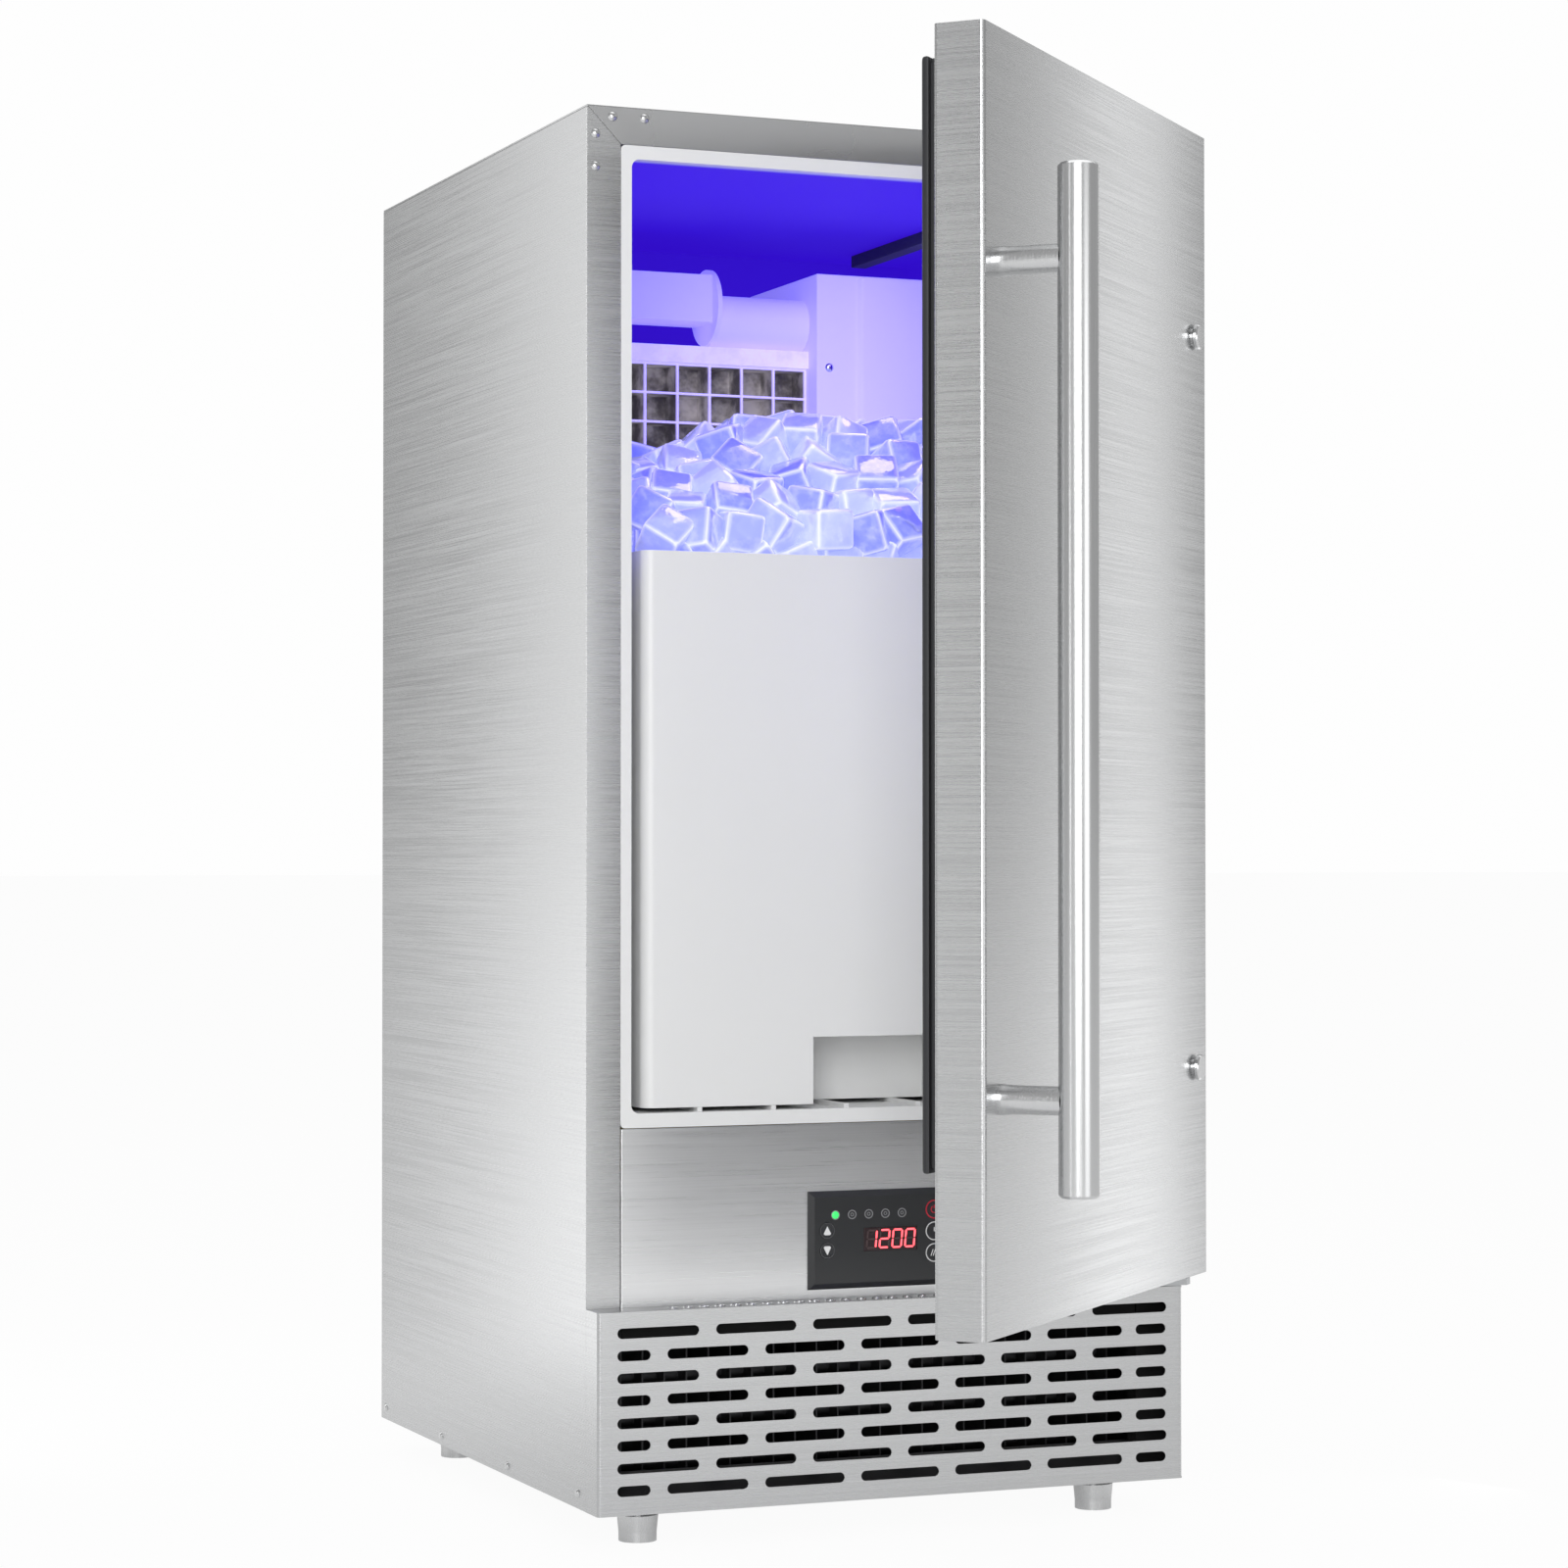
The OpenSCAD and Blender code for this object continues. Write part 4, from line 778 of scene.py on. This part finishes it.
class ICEMAKER_OT_vent_rims(bpy.types.Operator):
    """Rolls a bright rim round each hole in the kick grille's top fold"""

    bl_idname = "icemaker.vent_rims"
    bl_label = "Vent rims"

    def execute(self, context):
        pitch, reach, bead = 10 * MM, 2.9 * MM, 0.55 * MM
        turn = np.linspace(0, 2 * math.pi, 18, endpoint=False)
        section = np.linspace(0, 2 * math.pi, 8, endpoint=False)
        a, b = np.meshgrid(turn, section, indexing="ij")
        r = reach + bead * np.cos(b)
        ring = np.stack([r * np.cos(a), r * np.sin(a), bead * np.sin(b)], -1).reshape(-1, 3)
        centres = np.arange(-14, 15)[:, None] * np.array([[pitch, 0, 0]])
        centres = centres + np.array([0, FRONT_Y - 10 * MM, GRILLE_HIGH.z - 0.1 * MM])
        points = (centres[:, None] + ring[None]).reshape(-1, 3)
        faces = grid_faces(18, 8, True, True)[:, ::-1][None] + (np.arange(29) * len(ring))[:, None, None]
        mesh_piece("vent_rims", points, faces.reshape(-1, 4), "cabinet",
                   MATERIALS["polished_steel"])
        return {"FINISHED"}


class ICEMAKER_OT_cover_front(bpy.types.Operator):
    """Raised front of the pump cover, with a soft fold along its left side"""

    bl_idname = "icemaker.cover_front"
    bl_label = "Pump cover front"

    def execute(self, context):
        low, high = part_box("pump_cover")
        fold, rise, left = 4 * MM, 4 * MM, low.x + 28 * MM
        turn = np.linspace(0, math.pi, 9)
        x = np.concatenate([left + fold * turn / math.pi, [high.x - 1 * MM] * 2])
        y = np.concatenate([rise * (1 - np.cos(turn)) / 2, [rise, -0.2 * MM]])
        plan = np.stack([x, low.y - y], 1)
        levels = np.array([BIN_HIGH.z + 14 * MM, high.z - 2 * MM])
        points = np.concatenate([np.column_stack([plan, np.full(len(plan), z)]) for z in levels])
        count = len(plan)
        index = np.arange(count)
        after = (index + 1) % count
        faces = np.stack([index, after, after + count, index + count], 1).tolist()
        faces += [list(range(count))[::-1], list(range(count, 2 * count))]
        mesh = bpy.data.meshes.new("pump_cover_front")
        mesh.from_pydata(points.tolist(), [], faces)
        mesh.materials.append(MATERIALS["cover_plastic"])
        mesh.update()
        piece = bpy.data.objects.new("pump_cover_front", mesh)
        context.scene.collection.objects.link(piece)
        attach(piece, "cabinet")
        bevel(piece, 0.6 * MM)
        return {"FINISHED"}


# ------------------------------------------------------------------ control panel

def raised(outline, y, depth):
    """A flat outline in x and z, given as a fan of points, raised from y towards the viewer."""
    front = np.column_stack([outline[:, 0], np.full(len(outline), y - depth), outline[:, 1]])
    back = front + np.array([0, depth, 0])
    count = len(outline)
    index = np.arange(count)
    sides = np.stack([index, index + count, (index + 1) % count + count, (index + 1) % count], 1)
    return np.concatenate([front, back]), [list(range(count))], sides.tolist()


def join_shapes(shapes):
    """Several raised outlines as one list of points and one of faces."""
    points, faces = [], []
    for vertices, fronts, sides in shapes:
        base = sum(len(p) for p in points)
        points.append(vertices)
        faces += [[i + base for i in face] for face in fronts + sides]
    return np.concatenate(points), faces


def flat_piece(name, shapes, body, material):
    """One printed or raised mark made of several outlines, its faces pointing outwards."""
    points, faces = join_shapes(shapes)
    mesh = bpy.data.meshes.new(name)
    mesh.from_pydata(points.tolist(), [], faces)
    mesh.materials.append(MATERIALS[material])
    mesh.update()
    piece = bpy.data.objects.new(name, mesh)
    bpy.context.scene.collection.objects.link(piece)
    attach(piece, body)
    return piece


def ring_shape(name, centre, outer, inner, y, depth, body, material, start=0.0, sweep=2 * math.pi):
    """A ring or part of one: a small round-shouldered section carried about the centre."""
    closed = sweep > 2 * math.pi - 1e-6
    turn = np.linspace(start, start + sweep, 40, endpoint=not closed)
    section = np.array([[outer, 0], [outer, -depth], [inner, -depth], [inner, 0]])
    r, a = np.meshgrid(section[:, 0], turn, indexing="ij")
    out = np.repeat(section[:, 1][:, None], len(turn), 1)
    points = np.stack([centre[0] + r * np.cos(a), y + out, centre[1] + r * np.sin(a)], -1)
    faces = grid_faces(4, len(turn), True, closed)
    return mesh_piece(name, points.reshape(-1, 3), faces, body, MATERIALS[material], False)


def triangle(centre, size, up):
    """An upright triangle with its point up or down."""
    s = 1 if up else -1
    half, height = size / 2, size * 0.95
    corners = np.array([[-half, -s * height / 2], [half, -s * height / 2], [0, s * height / 2]])
    if up:
        corners = corners[::-1]
    return corners + centre


def bar(centre, angle, length, width):
    """A thin rectangle turned by an angle."""
    c, s = math.cos(angle), math.sin(angle)
    corners = np.array([[-length, -width], [-length, width], [length, width], [length, -width]]) / 2
    return corners @ np.array([[c, s], [-s, c]]) + centre


# Lit segments of each digit: top, upper left, upper right, middle, lower left, lower right, bottom
SEGMENTS = {"0": "1110111", "1": "0010010", "2": "1011101"}


def segment_outlines(corner, height, slant):
    """The seven pointed bars of one digit, from its lower left corner, leaning by slant."""
    wide, thick = height * 0.56, height * 0.105
    half = height / 2
    level = [(wide / 2, height, 0), (0, half * 1.5, 1), (wide, half * 1.5, 1), (wide / 2, half, 0),
             (0, half * 0.5, 1), (wide, half * 0.5, 1), (wide / 2, 0, 0)]
    shapes = []
    for x, z, upright in level:
        reach = (half if upright else wide) / 2 - thick * 0.16
        line = np.array([[-reach, 0], [-reach + thick / 2, thick / 2], [reach - thick / 2, thick / 2],
                         [reach, 0], [reach - thick / 2, -thick / 2], [-reach + thick / 2, -thick / 2]])
        if upright:
            line = line[:, ::-1] * np.array([1, -1])
        line = line + [x, z]
        line[:, 0] += line[:, 1] * slant
        shapes.append(line + corner)
    return shapes


class ICEMAKER_OT_display(bpy.types.Operator):
    """Digits on the display, with their unlit segments behind"""

    bl_idname = "icemaker.display"
    bl_label = "Display"

    def execute(self, context):
        height = size_props().digit_h
        pitch = height * 0.80
        face = DISPLAY_LOW.y
        middle = (DISPLAY_LOW.x + DISPLAY_HIGH.x) / 2
        start = middle - 2 * pitch + height * 0.10
        base = (DISPLAY_LOW.z + DISPLAY_HIGH.z) / 2 - height / 2
        lit, off = [], []
        for index, digit in enumerate("1200"):
            outlines = segment_outlines(np.array([start + index * pitch, base]), height, 0.09)
            for on, outline in zip(SEGMENTS[digit], outlines):
                (lit if on == "1" else off).append(outline)
        flat_piece("digits_lit", [raised(o, face, 0.12 * MM) for o in lit], "cabinet",
                   "digit_lit")
        flat_piece("digits_off", [raised(o, face, 0.06 * MM) for o in off], "cabinet",
                   "digit_off")
        return {"FINISHED"}


class ICEMAKER_OT_marks(bpy.types.Operator):
    """Lamp rings, the lit lamp and the signs on the five keys"""

    bl_idname = "icemaker.marks"
    bl_label = "Lamp rings and key signs"

    def execute(self, context):
        self.lamps()
        self.arrow_keys()
        self.round_keys()
        return {"FINISHED"}

    def lamps(self):
        """A pale ring round each lamp, and a domed green lens on the first."""
        face = LAMPS_LOW.y
        z = (LAMPS_LOW.z + LAMPS_HIGH.z) / 2
        first, last = LAMPS_LOW.x + 2.5 * MM, LAMPS_HIGH.x - 2.5 * MM
        for index, x in enumerate(np.linspace(first, last, 5)):
            ring_shape(f"lamp_ring_{index}", (x, z), 2.75 * MM, 2.25 * MM, face, 0.15 * MM, "cabinet",
                       "print_grey")
            ring_shape(f"lamp_core_{index}", (x, z), 1.05 * MM, 0.75 * MM, face, 0.1 * MM, "cabinet",
                       "print_grey")
        along, turn = np.linspace(0, math.pi / 2, 7), np.linspace(0, 2 * math.pi, 28, endpoint=False)
        a, t = np.meshgrid(along, turn, indexing="ij")
        r = 2.2 * MM * np.cos(a) + 1e-6
        points = np.stack([first + r * np.cos(t), face - 0.9 * MM * np.sin(a), z + r * np.sin(t)], -1)
        mesh_piece("lamp_lit", points.reshape(-1, 3), grid_faces(7, 28, False, True)[:, ::-1], "cabinet",
                   MATERIALS["lamp_green"])

    def arrow_keys(self):
        """A white triangle and a faint ring on the up and the down key."""
        for name, up in (("key_up", True), ("key_down", False)):
            low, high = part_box(name)
            centre = np.array([(low.x + high.x) / 2, (low.z + high.z) / 2])
            sign = [raised(triangle(centre, 5.6 * MM, up), low.y + 0.38 * MM, 0.3 * MM)]
            flat_piece(f"{name}_sign", sign, name, "print_white")
            ring_shape(f"{name}_ring", centre, 4.62 * MM, 4.3 * MM, low.y + 0.2 * MM, 0.22 * MM, name,
                       "ring_dim")

    def round_keys(self):
        """Power, timer and rinse keys: a ring each, with a plain sign inside."""
        for name, colour in (("key_power", "print_red"), ("key_timer", "print_white"),
                             ("key_clean", "print_white")):
            low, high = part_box(name)
            centre = np.array([(low.x + high.x) / 2, (low.z + high.z) / 2])
            y = low.y + 0.25 * MM
            ring_shape(f"{name}_ring", centre, 5.6 * MM, 5.05 * MM, BEZEL_Y + 0.1 * MM, 0.25 * MM,
                       "cabinet", colour)
            if name == "key_power":
                ring_shape(f"{name}_arc", centre, 2.3 * MM, 1.8 * MM, y + 0.1 * MM, 0.25 * MM, name,
                           colour, math.radians(125), math.radians(290))
                bars = [bar(centre + [0, 1.6 * MM], math.pi / 2, 2.2 * MM, 0.5 * MM)]
            elif name == "key_timer":
                bars = [bar(centre + [0, 1.1 * MM], math.pi / 2, 2.4 * MM, 0.5 * MM),
                        bar(centre + [0.9 * MM, 0], 0, 1.9 * MM, 0.5 * MM)]
            else:
                bars = [bar(centre + [k * 1.5 * MM, 0], math.pi / 2.6, 4.2 * MM, 0.45 * MM)
                        for k in (-1, 0, 1)]
            flat_piece(f"{name}_sign", [raised(b, y + 0.1 * MM, 0.25 * MM) for b in bars], name,
                       colour)


# ------------------------------------------------------------------ stage

def area_light(name, place, target, size, power, color=(1, 1, 1)):
    """A rectangular soft lamp that points from place to target; size is width and height."""
    data = bpy.data.lights.new(name, "AREA")
    data.shape = "RECTANGLE"
    data.size, data.size_y = size
    data.energy = power
    data.color = color
    lamp = bpy.data.objects.new(name, data)
    bpy.context.scene.collection.objects.link(lamp)
    lamp.location = place
    lamp.rotation_euler = (Vector(target) - Vector(place)).to_track_quat("-Z", "Y").to_euler()
    lamp.visible_camera = False
    return lamp


class ICEMAKER_OT_stage(bpy.types.Operator):
    """Camera, floor, soft lamps and a pale world"""

    bl_idname = "icemaker.stage"
    bl_label = "Stage"

    def execute(self, context):
        scene = context.scene
        scene.view_settings.view_transform = "Standard"
        self.camera(scene)
        self.floor()
        self.world(scene)
        self.lamps()
        return {"FINISHED"}

    def camera(self, scene):
        """The camera at the fitted viewing place."""
        data = bpy.data.cameras.new("camera")
        data.lens = CAMERA_LENS
        data.sensor_width = 36.0
        camera = bpy.data.objects.new("camera", data)
        scene.collection.objects.link(camera)
        camera.location = CAMERA_AT
        camera.rotation_euler = (math.radians(90 + CAMERA_TILT), 0, -math.radians(CAMERA_YAW))
        scene.camera = camera

    def floor(self):
        """A wide flat floor, as a grid of x and y at height zero."""
        across = np.linspace(-FLOOR_REACH, FLOOR_REACH, 21)
        x, y = (a.ravel() for a in np.meshgrid(across, across, indexing="ij"))
        mesh = bpy.data.meshes.new("floor")
        points = np.stack([x, y, 0 * x], 1)
        mesh.from_pydata(points.tolist(), [], grid_faces(21, 21)[:, ::-1].tolist())
        mesh.materials.append(stage_material("pale_floor", (0.86, 0.86, 0.86), 0.955))
        floor = bpy.data.objects.new("floor", mesh)
        bpy.context.scene.collection.objects.link(floor)

    def world(self, scene):
        """White for the camera, softer light for everything else."""
        world = bpy.data.worlds.new("studio")
        scene.world = world
        world.use_nodes = True
        tree = world.node_tree
        tree.nodes.clear()
        rays = put(tree, "ShaderNodeLightPath")
        soft = put(tree, "ShaderNodeBackground", {"Color": (1, 1, 1, 1), "Strength": 0.44})
        white = put(tree, "ShaderNodeBackground", {"Color": (1, 1, 1, 1), "Strength": 0.99})
        mix = put(tree, "ShaderNodeMixShader",
                  {0: rays.outputs["Is Camera Ray"], 1: soft.outputs[0], 2: white.outputs[0]})
        out = put(tree, "ShaderNodeOutputWorld")
        tree.links.new(mix.outputs[0], out.inputs[0])

    def lamps(self):
        """Large soft lamps round the machine, and the compartment lamp's own light."""
        area_light("front", (-1.5, -3.0, 1.3), (0, 0, 0.45), (1.4, 2.0), 52)
        area_light("fill", (0.80, -3.0, 0.42), (0, 0, 0.30), (1.2, 1.5), 8.0)
        area_light("top", (0.2, 0.2, 3.0), (0, 0, 0.8), (2.4, 2.4), 20)
        area_light("edge_line", (-2.9, -1.23, 0.6), (0, 0, 0.5), (0.18, 2.2), 3.2)
        area_light("side_band", (-0.50, 0.50, 0.45), (0.6, 0.50, 0.45), (0.58, 1.5), 2.7)
        area_light("door_band", (0.42, -0.19, 0.50), (-0.4, -0.52, 0.50), (0.07, 1.6), 0.36)
        area_light("compartment", (0.02, FRONT_Y + 0.09, CEILING_Z - 6 * MM),
                   (0.0, FRONT_Y + 0.12, BIN_HIGH.z), (0.20, 0.10), 0.22, (0.40, 0.34, 1.0))


class ICEMAKER_PT_panel(bpy.types.Panel):
    """Sidebar panel with the sizes, the colours and every step"""

    bl_idname = "ICEMAKER_PT_panel"
    bl_label = "Ice maker"
    bl_space_type = "VIEW_3D"
    bl_region_type = "UI"
    bl_category = "Ice maker"

    def draw(self, context):
        for group_name in ("ice_maker_sizes", "ice_maker_finish"):
            group_data = getattr(context.scene, group_name)
            for key in group_data.__annotations__:
                self.layout.prop(group_data, key)
        for operator in OPERATORS:
            self.layout.operator(operator.bl_idname)


OPERATORS = (ICEMAKER_OT_stage, ICEMAKER_OT_finishes, ICEMAKER_OT_ice, ICEMAKER_OT_gasket,
             ICEMAKER_OT_posts, ICEMAKER_OT_vent_rims, ICEMAKER_OT_cover_front,
             ICEMAKER_OT_display, ICEMAKER_OT_marks)
CLASSES = (IceMakerFinish, IceMakerSizes, *OPERATORS, ICEMAKER_PT_panel)


def register():
    """Adds the classes and the scene's settings."""
    for item in CLASSES:
        bpy.utils.register_class(item)
    bpy.types.Scene.ice_maker_finish = bpy.props.PointerProperty(type=IceMakerFinish)
    bpy.types.Scene.ice_maker_sizes = bpy.props.PointerProperty(type=IceMakerSizes)


def unregister():
    """Removes the scene's settings and the classes."""
    del bpy.types.Scene.ice_maker_sizes
    del bpy.types.Scene.ice_maker_finish
    for item in reversed(CLASSES):
        bpy.utils.unregister_class(item)


def main():
    """Registers the add-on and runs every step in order."""
    register()
    for operator in OPERATORS:
        module, name = operator.bl_idname.split(".")
        getattr(getattr(bpy.ops, module), name)()


if __name__ == "__main__":
    main()
